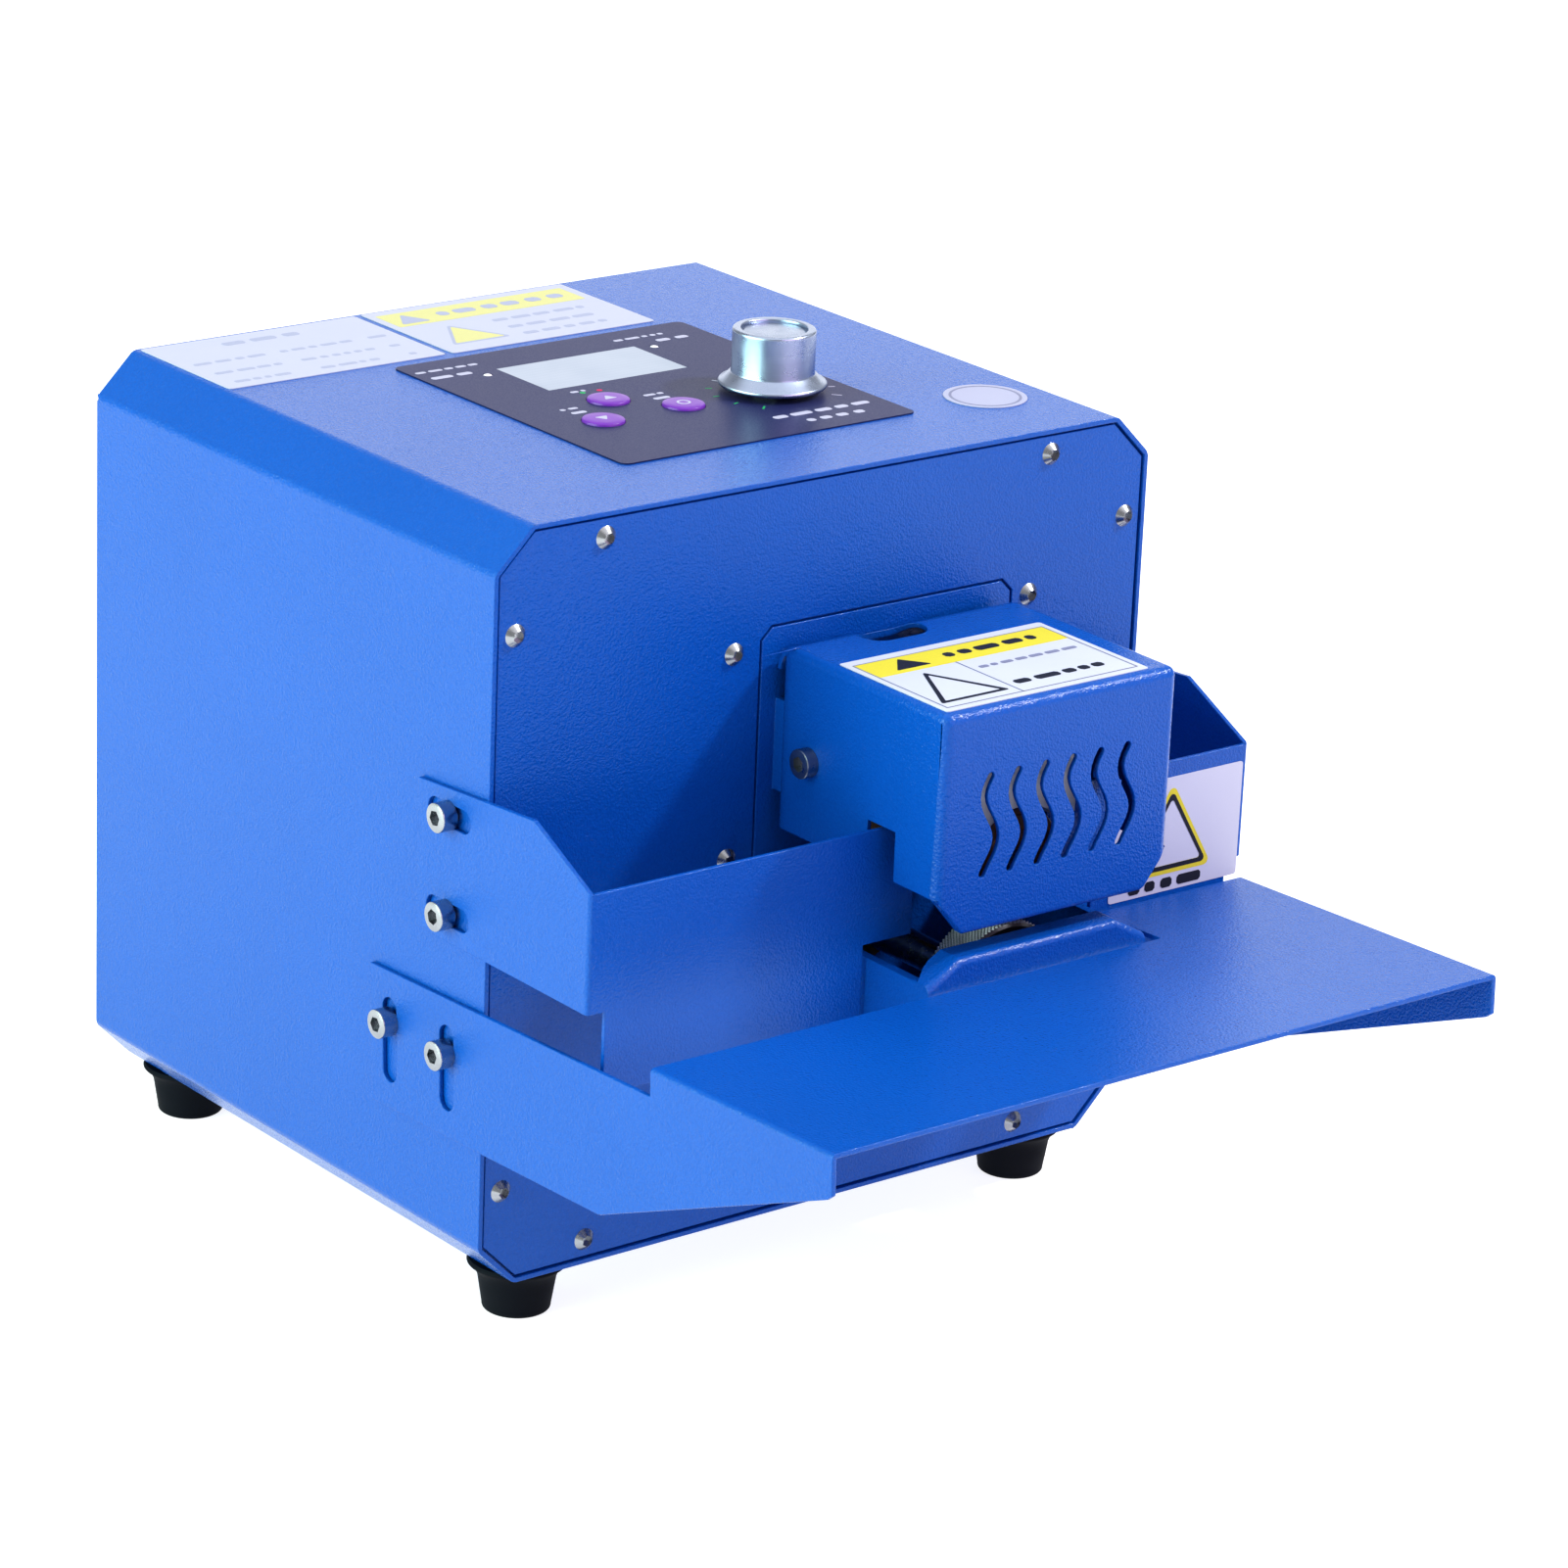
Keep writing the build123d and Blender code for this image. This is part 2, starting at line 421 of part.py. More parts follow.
# ---------------------------------------------------------------- control panel on top
zt = cab_h
overlay = blk(over_x0, over_x1, over_y0, over_y1, zt, zt + over_t)
overlay = fillet(overlay.edges().filter_by(Axis.Z), 2.5)
overlay = overlay - blk(lcd_x0, lcd_x1, lcd_y0, lcd_y1, zt - 1, zt + 1) - cyl_z(knob_x, knob_y, zt - 1, zt + 1, 4.6)
for name, x, y in keys:
    overlay = overlay - cyl_z(x, y, zt - 1, zt + 1, key_r + key_gap)
for x, y in leds:
    overlay = overlay - cyl_z(x, y, zt - 1, zt + 1, 1.5)
save(overlay, "control_overlay")
save(blk(lcd_x0, lcd_x1, lcd_y0, lcd_y1, zt, zt + over_t - 0.05), "lcd_window")
save(blk(lcd_x0 - 3.5, lcd_x1 + 3, lcd_y0 - 4, lcd_y1 + 4, zt - 9.5, zt - 1.5), "lcd_module")
for name, x, y in keys:
    key = cyl_z(x, y, zt - 5.0, zt + 1.3, key_r) + cyl_z(x, y, zt - 5.0, zt - 3.2, key_r + 1.4)
    top_edge = key.edges().group_by(Axis.Z)[-1]
    save(fillet(top_edge, 0.6), name)
save(group(cyl_z(x, y, zt - 9, zt + 0.7, 1.5) for x, y in leds), "indicator_leds")

board_z = zt - 12.0
board = blk(70, 168, 38, 141, board_z - 1.6, board_z)
for name, x, y in keys:
    board = board + blk(x - 3, x + 3, y - 3, y + 3, board_z, board_z + 3.4) + cyl_z(x, y, board_z + 3.4, board_z + 5.6, 1.7)
board = board - cyl_z(knob_x, knob_y, board_z - 3, board_z + 1, 13.5)
for x, y, w, d, h in ((84, 52, 14, 10, 8), (124, 50, 10, 10, 6)):
    board = board + blk(x - w / 2, x + w / 2, y - d / 2, y + d / 2, board_z - 1.6 - h, board_z - 1.6)
stand_spots = [(73, 41), (165, 41), (73, 138), (165, 138)]
save(board, "control_board")
save(group(cyl_z(x, y, board_z, zt - sheet, 2.4) for x, y in stand_spots), "board_standoffs")

pot = cyl_z(knob_x, knob_y, zt - 14, zt - sheet - 0.3, 12.0) + cyl_z(knob_x, knob_y, zt - 2, zt + 3.4, 4.5)
save(pot - cyl_z(knob_x, knob_y, zt - 9, zt + 8, 3.0 + run_gap), "potentiometer")
nut = Pos(knob_x, knob_y, zt + over_t) * extrude(RegularPolygon(6.0, 6, major_radius=False), 2.2)
save(nut - cyl_z(knob_x, knob_y, zt, zt + 5, 4.5), "potentiometer_nut")
save(cyl_z(knob_x, knob_y, zt - 8.8, zt + 15, 3.0), "potentiometer_shaft")
kz = zt + 2.0
knob_prof = Polyline((3.0, kz + 5.0), (9.6, kz + 5.0), (9.6, kz), (15.2, kz), (15.9, kz + 0.5), (15.9, kz + 1.3),
                     (12.2, kz + 4.2), (12.2, kz + 16.6), (11.6, kz + 17.2), (9.7, kz + 17.2), (9.7, kz + 16.2),
                     (3.0, kz + 16.2), close=True)
knob = Pos(knob_x, knob_y, 0) * revolve(Plane.XZ * make_face(knob_prof), Axis.Z)
knob = knob + cyl_z(knob_x, knob_y, kz + 13.1, kz + 16.2, 3.2)
save(knob, "temperature_knob")

label_t = 0.2
save(blk(13.6, 89.0, 150.5, 198.8, zt, zt + label_t), "top_label_left")
save(blk(91.3, 165.4, 150.2, 199.2, zt, zt + label_t), "top_label_right")
save(cyl_z(199.5, 35.6, zt, zt + label_t, 12.3), "round_sticker")

# ---------------------------------------------------------------- power parts
psu = blk(24, 82, 78, 176, 3.5, 36)
save(psu, "power_supply")
save(group(cyl_z(x, y, sheet, 3.5, 3.0) for x in (32, 74) for y in (86, 168)), "supply_standoffs")
inlet = blk(inlet_x - 24, inlet_x + 24, cab_d, cab_d + 2.4, inlet_z - 11.2, inlet_z + 11.2)
inlet = inlet + blk(inlet_x - 13.8, inlet_x + 13.8, cab_d - 22, cab_d + 1, inlet_z - 10.3, inlet_z + 10.3)
inlet = inlet - blk(inlet_x - 11.8, inlet_x + 11.8, cab_d - 15, cab_d + 4, inlet_z - 8, inlet_z + 8)
pins = [blk(inlet_x + dx - 1, inlet_x + dx + 1, cab_d - 15, cab_d - 2.5, inlet_z + dz - 2, inlet_z + dz + 2)
        for dx, dz in ((-7.0, -2.0), (0.0, 2.0), (7.0, -2.0))]
for dx in (-20.0, 20.0):
    inlet = inlet - cyl_y(inlet_x + dx, cab_d - 1, cab_d + 4, inlet_z, 1.6)
save(inlet, "mains_inlet")
save(group(pins), "inlet_pins")
save(group(cyl_y(inlet_x + dx, cab_d - 5, cab_d + 2.4, inlet_z, 1.6) for dx in (-20.0, 20.0)), "inlet_screws")
bezel = blk(rock_x - 9.5, rock_x + 9.5, cab_d, cab_d + 1.8, rock_z - 12.5, rock_z + 12.5)
bezel = bezel + blk(rock_x - 6.8, rock_x + 6.8, cab_d - 16, cab_d + 1, rock_z - 9.8, rock_z + 9.8)
bezel = bezel - blk(rock_x - 5.4, rock_x + 5.4, cab_d - 8, cab_d + 3, rock_z - 8.4, rock_z + 8.4)
bezel = bezel - cyl_x(rock_x - 6.3, rock_x + 6.3, cab_d - 1, rock_z, pivot_r + run_gap)
save(bezel, "switch_bezel")
rock_prof = [(-5.0, -4.4), (2.9, -7.7), (1.9, 0), (2.9, 7.7), (-5.0, 4.4)]
rocker = plate_yz(rock_prof, rock_x - 5.1, rock_x + 5.1) + cyl_x(rock_x - 6.1, rock_x + 6.1, 0, 0, pivot_r)
save(Pos(0, cab_d - 1.0, rock_z) * Rot(9, 0, 0) * rocker, "switch_rocker")
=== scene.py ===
"""Looks of a benchtop rotary film heat sealer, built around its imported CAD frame.

Sizes are in millimetres in the cabinet's own frame (x from the left side, y from the front panel back,
z from the cabinet's floor up), as in the part's source; at() and span() turn them into the row's metres.
"""
import json
import math
import random

import bmesh
import bpy
from mathutils import Matrix, Vector


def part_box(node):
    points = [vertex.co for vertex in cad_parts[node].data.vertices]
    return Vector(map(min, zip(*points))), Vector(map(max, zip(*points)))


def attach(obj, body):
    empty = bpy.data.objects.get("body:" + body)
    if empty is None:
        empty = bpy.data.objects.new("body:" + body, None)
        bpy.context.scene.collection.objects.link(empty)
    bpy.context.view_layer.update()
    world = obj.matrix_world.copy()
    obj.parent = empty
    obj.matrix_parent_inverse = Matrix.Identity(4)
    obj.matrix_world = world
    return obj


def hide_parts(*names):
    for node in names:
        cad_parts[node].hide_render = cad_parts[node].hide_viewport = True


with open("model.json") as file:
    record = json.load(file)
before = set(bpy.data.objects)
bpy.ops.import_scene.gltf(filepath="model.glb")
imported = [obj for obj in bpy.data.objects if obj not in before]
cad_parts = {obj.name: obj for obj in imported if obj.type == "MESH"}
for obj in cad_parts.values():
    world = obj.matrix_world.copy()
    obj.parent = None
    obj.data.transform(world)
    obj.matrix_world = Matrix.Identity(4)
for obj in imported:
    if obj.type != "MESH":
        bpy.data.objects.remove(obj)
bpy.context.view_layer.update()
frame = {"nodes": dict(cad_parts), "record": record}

mm = 0.001

# ------------------------------------------------------------------ places, from the frame
shell_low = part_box("cabinet_shell")[0]
panel_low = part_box("front_panel")[0]
corner = Vector((shell_low.x, panel_low.y, shell_low.z))     # the cabinet frame's origin
slot_of = {part["node"]: part["material_slot"] for part in frame["record"]["subparts"]}
body_of = {node: body for body, nodes in frame["record"]["behaviour"]["bodies"].items() for node in nodes}


def at(x, y, z):
    """A point of the cabinet frame, in the row frame."""
    return corner + Vector((x, y, z)) * mm


def span(node):
    """A CAD node's lowest and highest corners in the cabinet frame."""
    low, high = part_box(node)
    return (low - corner) / mm, (high - corner) / mm


def middle(node):
    low, high = span(node)
    return (low + high) / 2


def solids(node):
    """Lowest and highest corners of each separate solid of a CAD node, in the cabinet frame."""
    shape = bmesh.new()
    shape.from_mesh(frame["nodes"][node].data)
    bmesh.ops.remove_doubles(shape, verts=shape.verts, dist=1e-6)
    shape.verts.ensure_lookup_table()
    found, seen = [], set()
    for first in shape.verts:
        if first in seen:
            continue
        heap, group = [first], []
        seen.add(first)
        while heap:
            vert = heap.pop()
            group.append((vert.co - corner) / mm)
            for edge in vert.link_edges:
                other = edge.other_vert(vert)
                if other not in seen:
                    seen.add(other)
                    heap.append(other)
        low = Vector([min(p[i] for p in group) for i in range(3)])
        high = Vector([max(p[i] for p in group) for i in range(3)])
        found.append((low, high))
    shape.free()
    return found


# ------------------------------------------------------------------ node graphs
def pick(sockets, key):
    """A socket by its place, its identifier or its name."""
    if isinstance(key, int):
        return sockets[key]
    for socket in sockets:
        if socket.identifier == key:
            return socket
    return next(socket for socket in sockets if socket.name == key and socket.enabled)


class Wire:
    """An output socket that does sums: a + b or 1 - a adds the Math node for it."""

    def __init__(self, graph, socket):
        self.graph = graph
        self.socket = socket

    def out(self, key):
        """Another output of the same node."""
        return Wire(self.graph, pick(self.socket.node.outputs, key))

    def math(self, operation, *values):
        return self.graph.node("ShaderNodeMath", {"operation": operation}, dict(enumerate(values)))

    def __add__(self, other):
        return self.math("ADD", self, other)

    def __sub__(self, other):
        return self.math("SUBTRACT", self, other)

    def __rsub__(self, other):
        return self.math("SUBTRACT", other, self)

    def __mul__(self, other):
        return self.math("MULTIPLY", self, other)

    def __truediv__(self, other):
        return self.math("DIVIDE", self, other)

    def __rtruediv__(self, other):
        return self.math("DIVIDE", other, self)

    def __pow__(self, other):
        return self.math("POWER", self, other)

    def __lt__(self, other):
        return self.math("LESS_THAN", self, other)

    def __gt__(self, other):
        return self.math("GREATER_THAN", self, other)

    def __mod__(self, other):
        return self.math("FLOORED_MODULO", self, other)

    def __abs__(self):
        return self.math("ABSOLUTE", self)

    __radd__ = __add__
    __rmul__ = __mul__

    def floor(self):
        return self.math("FLOOR", self)

    def cosine(self):
        return self.math("COSINE", self)

    def sine(self):
        return self.math("SINE", self)

    def least(self, other):
        return self.math("MINIMUM", self, other)

    def most(self, other):
        return self.math("MAXIMUM", self, other)

    def ramp(self, low, high, start=0.0, end=1.0):
        """Goes smoothly from start to end while the value goes from low to high."""
        return self.graph.node("ShaderNodeMapRange", {"interpolation_type": "SMOOTHSTEP"},
                               {"Value": self, "From Min": low, "From Max": high,
                                "To Min": start, "To Max": end})


class Graph:
    """A node tree. node() adds any node: its settings come first, then the values or links of its sockets."""

    def __init__(self, tree):
        self.tree = tree

    def node(self, kind, settings=None, sockets=None, out=0):
        made = self.tree.nodes.new(kind)
        for name, value in (settings or {}).items():
            setattr(made, name, value)
        for key, value in (sockets or {}).items():
            self.feed(pick(made.inputs, key), value)
        return Wire(self, pick(made.outputs, out))

    def feed(self, socket, value):
        for one in value if isinstance(value, list) else [value]:
            if isinstance(one, Wire):
                self.tree.links.new(one.socket, socket)
            else:
                socket.default_value = one


# ------------------------------------------------------------------ finishes
class Finish(Graph):
    """A material whose pattern is laid out in the object's own metres."""

    def __init__(self, name):
        self.material = bpy.data.materials.new(name)
        self.material.use_nodes = True
        super().__init__(self.material.node_tree)
        self.tree.nodes.clear()
        self.place = self.node("ShaderNodeTexCoord", out="Object")

    def noise(self, size, detail=2.0, roughness=0.5, stretch=(1.0, 1.0, 1.0)):
        """Soft noise whose lumps are about size millimetres across."""
        place = self.node("ShaderNodeMapping", None, {"Vector": self.place, "Scale": stretch})
        return self.node("ShaderNodeTexNoise", None,
                         {"Vector": place, "Scale": 1 / (size * mm), "Detail": detail,
                          "Roughness": roughness})

    def cells(self, size):
        """Smooth rounded cells about size millimetres across, as a textured coat has."""
        return self.node("ShaderNodeTexVoronoi", {"feature": "SMOOTH_F1"},
                         {"Vector": self.place, "Scale": 1 / (size * mm), "Smoothness": 0.6}, out="Distance")

    def axes(self):
        """The place's three coordinates, in millimetres of the row frame."""
        split = self.node("ShaderNodeSeparateXYZ", None, {"Vector": self.place})
        return [split.out(axis) * 1000 for axis in "XYZ"]

    def mix(self, factor, first, second):
        return self.node("ShaderNodeMix", {"data_type": "RGBA"},
                         {"Factor_Float": factor, "A_Color": first, "B_Color": second}, out="Result_Color")

    def bump(self, height, depth, strength=1.0):
        """A bump of the given depth in millimetres."""
        return self.node("ShaderNodeBump", None,
                         {"Height": height, "Distance": depth * mm, "Strength": strength})

    def done(self, **sockets):
        named = {name.replace("_", " ").title().replace("Ior", "IOR"): value
                 for name, value in sockets.items()}
        shader = self.node("ShaderNodeBsdfPrincipled", None, named, out="BSDF")
        self.node_output(shader)
        return self.material

    def node_output(self, shader):
        end = self.tree.nodes.new("ShaderNodeOutputMaterial")
        self.tree.links.new(shader.socket, end.inputs["Surface"])


def rgb(red, green, blue):
    return (red, green, blue, 1.0)


def shade(colour, factor):
    return rgb(*[min(1.0, c * factor) for c in colour[:3]])


def powder_coat(name, colour):
    """Semi-gloss textured powder coat: orange peel with a finer pebble in it."""
    f = Finish(name)
    peel = f.noise(0.9, 3.0, 0.6)
    pebble = f.cells(0.7)
    cloud = f.noise(60.0, 2.0)
    tone = f.mix(peel * 0.55 + cloud * 0.35, shade(colour, 0.84), shade(colour, 1.14))
    tone = f.mix(pebble.ramp(0.25, 0.75, 0.0, 0.35), tone, shade(colour, 0.78))
    return f.done(base_color=tone, roughness=peel.ramp(0.3, 0.7, 0.15, 0.24), specular_ior_level=0.30,
                  normal=f.bump(peel * 0.75 + pebble * 0.5, 0.24, 1.0))


def plated(name, colour, roughness, grain=0.5):
    """Bright plated or turned steel with fine handling marks."""
    f = Finish(name)
    smear = f.noise(3.0, 4.0, 0.6)
    fine = f.noise(grain, 2.0, 0.5, (1.0, 1.0, 3.0))
    tone = f.mix(smear, shade(colour, 0.82), shade(colour, 1.1))
    return f.done(base_color=tone, metallic=1.0, roughness=smear.ramp(0.2, 0.8, roughness, roughness + 0.14),
                  normal=f.bump(fine, 0.02, 0.6))


def brushed(name, colour, roughness, stretch):
    """Metal with a grain drawn along one axis."""
    f = Finish(name)
    grain = f.noise(1.2, 3.0, 0.6, stretch)
    smear = f.noise(12.0, 2.0)
    tone = f.mix(grain * 0.6 + smear * 0.4, shade(colour, 0.78), shade(colour, 1.12))
    return f.done(base_color=tone, metallic=1.0,
                  roughness=grain.ramp(0.25, 0.75, roughness, roughness + 0.16),
                  normal=f.bump(grain, 0.015, 0.7))


def turned_metal(name, colour, roughness, centre):
    """Satin turned metal: fine rings round a vertical centre line and faint rings up the side."""
    f = Finish(name)
    x, y, z = f.axes()
    middle_x, middle_y = centre.x / mm, centre.y / mm
    reach = ((x - middle_x) ** 2 + (y - middle_y) ** 2) ** 0.5
    lathe = f.node("ShaderNodeCombineXYZ", None, {"X": reach, "Y": z})
    rings = f.node("ShaderNodeTexNoise", {"noise_dimensions": "2D"},
                   {"Vector": lathe, "Scale": 7.0, "Detail": 3.0})
    smear = f.noise(5.0, 3.0)
    tone = f.mix(rings * 0.5 + smear * 0.5, shade(colour, 0.84), shade(colour, 1.08))
    return f.done(base_color=tone, metallic=1.0, roughness=smear.ramp(0.25, 0.8, roughness, roughness + 0.12),
                  normal=f.bump(rings, 0.012, 0.8))


def moulded(name, colour, roughness, spark=0.45, coat=0.0, shine=0.4):
    """Moulded plastic or rubber with a fine spark-eroded grain."""
    f = Finish(name)
    grain = f.noise(spark, 2.0)
    cloud = f.noise(14.0, 2.0)
    tone = f.mix(grain * 0.4 + cloud * 0.5, shade(colour, 0.82), shade(colour, 1.2))
    return f.done(base_color=tone, roughness=cloud.ramp(0.2, 0.8, roughness, min(1.0, roughness + 0.12)),
                  specular_ior_level=shine, coat_weight=coat, coat_roughness=0.12,
                  normal=f.bump(grain, 0.03, 0.7))


def film_print(name, colour, roughness=0.3):
    """A printed plastic film with a faint matt grain."""
    f = Finish(name)
    grain = f.noise(0.35, 2.0)
    cloud = f.noise(30.0, 2.0)
    tone = f.mix(grain * 0.3 + cloud * 0.5, shade(colour, 0.9), shade(colour, 1.12))
    return f.done(base_color=tone, roughness=grain.ramp(0.3, 0.7, roughness, roughness + 0.12),
                  specular_ior_level=0.16, normal=f.bump(grain, 0.02, 0.5))


def paper(name, colour):
    """Coated label stock: faint fibres, slightly wavy gloss."""
    f = Finish(name)
    fibre = f.noise(0.6, 4.0, 0.6, (1.0, 0.4, 1.0))
    cloud = f.noise(18.0, 2.0)
    tone = f.mix(fibre * 0.5 + cloud * 0.5, shade(colour, 0.95), shade(colour, 1.04))
    return f.done(base_color=tone, roughness=cloud.ramp(0.2, 0.8, 0.42, 0.56), specular_ior_level=0.1,
                  normal=f.bump(cloud, 0.12, 0.5))


def ink(name, colour, roughness=0.45):
    """Screen-printed ink, a little uneven."""
    f = Finish(name)
    grain = f.noise(0.4, 3.0)
    tone = f.mix(grain, shade(colour, 0.85), shade(colour, 1.1))
    return f.done(base_color=tone, roughness=grain.ramp(0.2, 0.8, roughness, roughness + 0.12),
                  specular_ior_level=0.1, normal=f.bump(grain, 0.01, 0.5))


def sleeve(name, colour):
    """Brown glass-cloth PTFE on the heat wheel: a fine weave under a waxy coat."""
    f = Finish(name)
    x, y, z = f.axes()
    weave = abs((y * 4.0) % 2.0 - 1.0) * abs((z * 4.0 + x) % 2.0 - 1.0)
    cloud = f.noise(4.0, 3.0)
    tone = f.mix(weave * 0.4 + cloud * 0.5, shade(colour, 0.7), shade(colour, 1.2))
    return f.done(base_color=tone, roughness=cloud.ramp(0.2, 0.8, 0.35, 0.5), coat_weight=0.3,
                  coat_roughness=0.25, normal=f.bump(weave + cloud, 0.04, 0.6))


def circuit(name):
    """Green solder mask with darker track lanes."""
    f = Finish(name)
    x, y = f.axes()[:2]
    lanes = (abs((x * 0.5) % 2.0 - 1.0) > 0.82).most(abs((y * 0.37) % 2.0 - 1.0) > 0.86)
    grain = f.noise(0.8, 2.0)
    tone = f.mix(lanes, rgb(0.012, 0.12, 0.035), rgb(0.03, 0.22, 0.06))
    tone = f.mix(grain * 0.3, tone, rgb(0.01, 0.05, 0.02))
    return f.done(base_color=tone, roughness=grain.ramp(0.2, 0.8, 0.3, 0.45), normal=f.bump(lanes, 0.03))


def display_glass(name):
    """Unlit display: pale grey with faint horizontal lines under gloss."""
    f = Finish(name)
    y = f.axes()[1]
    lines = abs((y * 0.9) % 2.0 - 1.0)
    cloud = f.noise(16.0, 2.0)
    tone = f.mix(lines * 0.25 + cloud * 0.4, rgb(0.34, 0.37, 0.46), rgb(0.28, 0.31, 0.40))
    return f.done(base_color=tone, roughness=cloud.ramp(0.2, 0.8, 0.3, 0.4), specular_ior_level=0.2,
                  normal=f.bump(cloud, 0.02, 0.3))


def floor_sheet(name):
    """Plain white studio sheet with a trace of tone."""
    f = Finish(name)
    cloud = f.noise(400.0, 2.0)
    grain = f.noise(1.5, 2.0)
    tone = f.mix(cloud * 0.6 + grain * 0.4, rgb(0.44, 0.44, 0.45), rgb(0.48, 0.48, 0.49))
    return f.done(base_color=tone, roughness=grain.ramp(0.2, 0.8, 0.7, 0.8), specular_ior_level=0.1,
                  emission_color=rgb(1.0, 1.0, 1.0), emission_strength=0.72)


knob_centre = (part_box("temperature_knob")[0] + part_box("temperature_knob")[1]) / 2
blue = rgb(0.003, 0.083, 0.390)
finishes = {
    "blue_paint": powder_coat("blue_powder_coat", blue),
    "zinc_steel": plated("zinc_plate", rgb(0.40, 0.41, 0.44), 0.17),
    "black_steel": plated("blackened_steel", rgb(0.30, 0.31, 0.34), 0.24),
    "spring_steel": plated("spring_wire", rgb(0.42, 0.42, 0.44), 0.28),
    "motor_steel": brushed("motor_can", rgb(0.50, 0.50, 0.52), 0.34, (1.0, 0.1, 1.0)),
    "gear_steel": plated("cut_gear_steel", rgb(0.42, 0.42, 0.44), 0.32),
    "wheel_steel": plated("nickelled_steel", rgb(0.74, 0.75, 0.80), 0.26, 0.3),
    # Dark steel for the driven wheel's body under its knurl teeth: painted shade in the gaps between the
    # teeth.
    "knurl_gap_painted_shade": plated("darkened_steel", rgb(0.10, 0.10, 0.11), 0.4, 0.3),
    "bronze": plated("bush_bronze", rgb(0.60, 0.36, 0.14), 0.34),
    "raw_aluminium": brushed("milled_aluminium", rgb(0.74, 0.75, 0.77), 0.34, (0.1, 1.0, 1.0)),
    "knob_aluminium": turned_metal("turned_aluminium", rgb(0.40, 0.46, 0.60), 0.24, knob_centre),
    "ptfe_brown": sleeve("ptfe_sleeve", rgb(0.09, 0.040, 0.018)),
    "black_rubber": moulded("foot_rubber", rgb(0.004, 0.005, 0.009), 0.6, shine=0.1),
    "black_plastic": moulded("black_moulding", rgb(0.016, 0.016, 0.018), 0.36),
    "panel_grey": film_print("overlay_film", rgb(0.018, 0.022, 0.085), 0.34),
    "lcd_grey": display_glass("display_glass"),
    "key_purple": moulded("purple_key", rgb(0.14, 0.020, 0.34), 0.34, 0.6, 0.12),
    "led_red": moulded("milky_lens", rgb(0.70, 0.68, 0.74), 0.25, 0.6, 0.5),
    "pcb_green": circuit("solder_mask"),
    "label_white": paper("label_stock", rgb(0.50, 0.52, 0.62)),
    # The two top labels take this darker copy of the label stock: painted shade against the strong light on
    # the cabinet's top; its finish is the same as label_white.
    "label_painted_shade": paper("matt_label_stock", rgb(0.41, 0.42, 0.54)),
    "sticker_stock": paper("sticker_stock", rgb(0.35, 0.36, 0.50)),
}
grey_ink = ink("grey_ink", rgb(0.20, 0.21, 0.32))
# Lightened copies of the grey and yellow inks, printed on the two top labels: painted highlight over the
# print.
painted_highlight_grey_ink = ink("pale_grey_ink", rgb(0.32, 0.34, 0.47))
pale_yellow_ink = ink("pale_yellow_ink", rgb(0.53, 0.51, 0.24))
dark_ink = ink("dark_ink", rgb(0.020, 0.022, 0.035))
yellow_ink = ink("yellow_ink", rgb(0.62, 0.54, 0.05))
white_ink = ink("white_ink", rgb(0.40, 0.40, 0.52))
green_ink = ink("green_ink", rgb(0.03, 0.32, 0.12))
red_ink = ink("red_ink", rgb(0.50, 0.02, 0.10))

for node, piece in frame["nodes"].items():
    piece.data.materials.clear()
    piece.data.materials.append(finishes[slot_of[node]])


# ------------------------------------------------------------------ making pieces
def placed(name, mesh, material, smooth=30.0):
    """A mesh as an object at the origin, shaded smooth up to an angle between its faces."""
    mesh.materials.clear()
    mesh.materials.append(material)
    mesh.shade_smooth()
    mesh.set_sharp_from_angle(angle=math.radians(smooth))
    piece = bpy.data.objects.new(name, mesh)
    bpy.context.scene.collection.objects.link(piece)
    return piece


def fitted(piece, node):
    """The piece stands for a CAD node: same body, and the node itself is hidden."""
    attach(piece, body_of[node])
    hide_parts(node)
    return piece


def from_bmesh(name, shape, material, smooth=30.0):
    mesh = bpy.data.meshes.new(name)
    shape.to_mesh(mesh)
    shape.free()
    return placed(name, mesh, material, smooth)


def applied(piece):
    """The piece with its modifiers worked into a plain mesh."""
    graph = bpy.context.evaluated_depsgraph_get()
    mesh = bpy.data.meshes.new_from_object(piece.evaluated_get(graph), depsgraph=graph)
    piece.modifiers.clear()
    old = piece.data
    piece.data = mesh
    bpy.data.meshes.remove(old)
    mesh.name = piece.name
    return piece


def weighted(piece):
    """Shading that keeps flat sheets flat and lets only their rounded edges turn."""
    modifier = piece.modifiers.new("weighted", "WEIGHTED_NORMAL")
    modifier.keep_sharp = True
    return applied(piece)


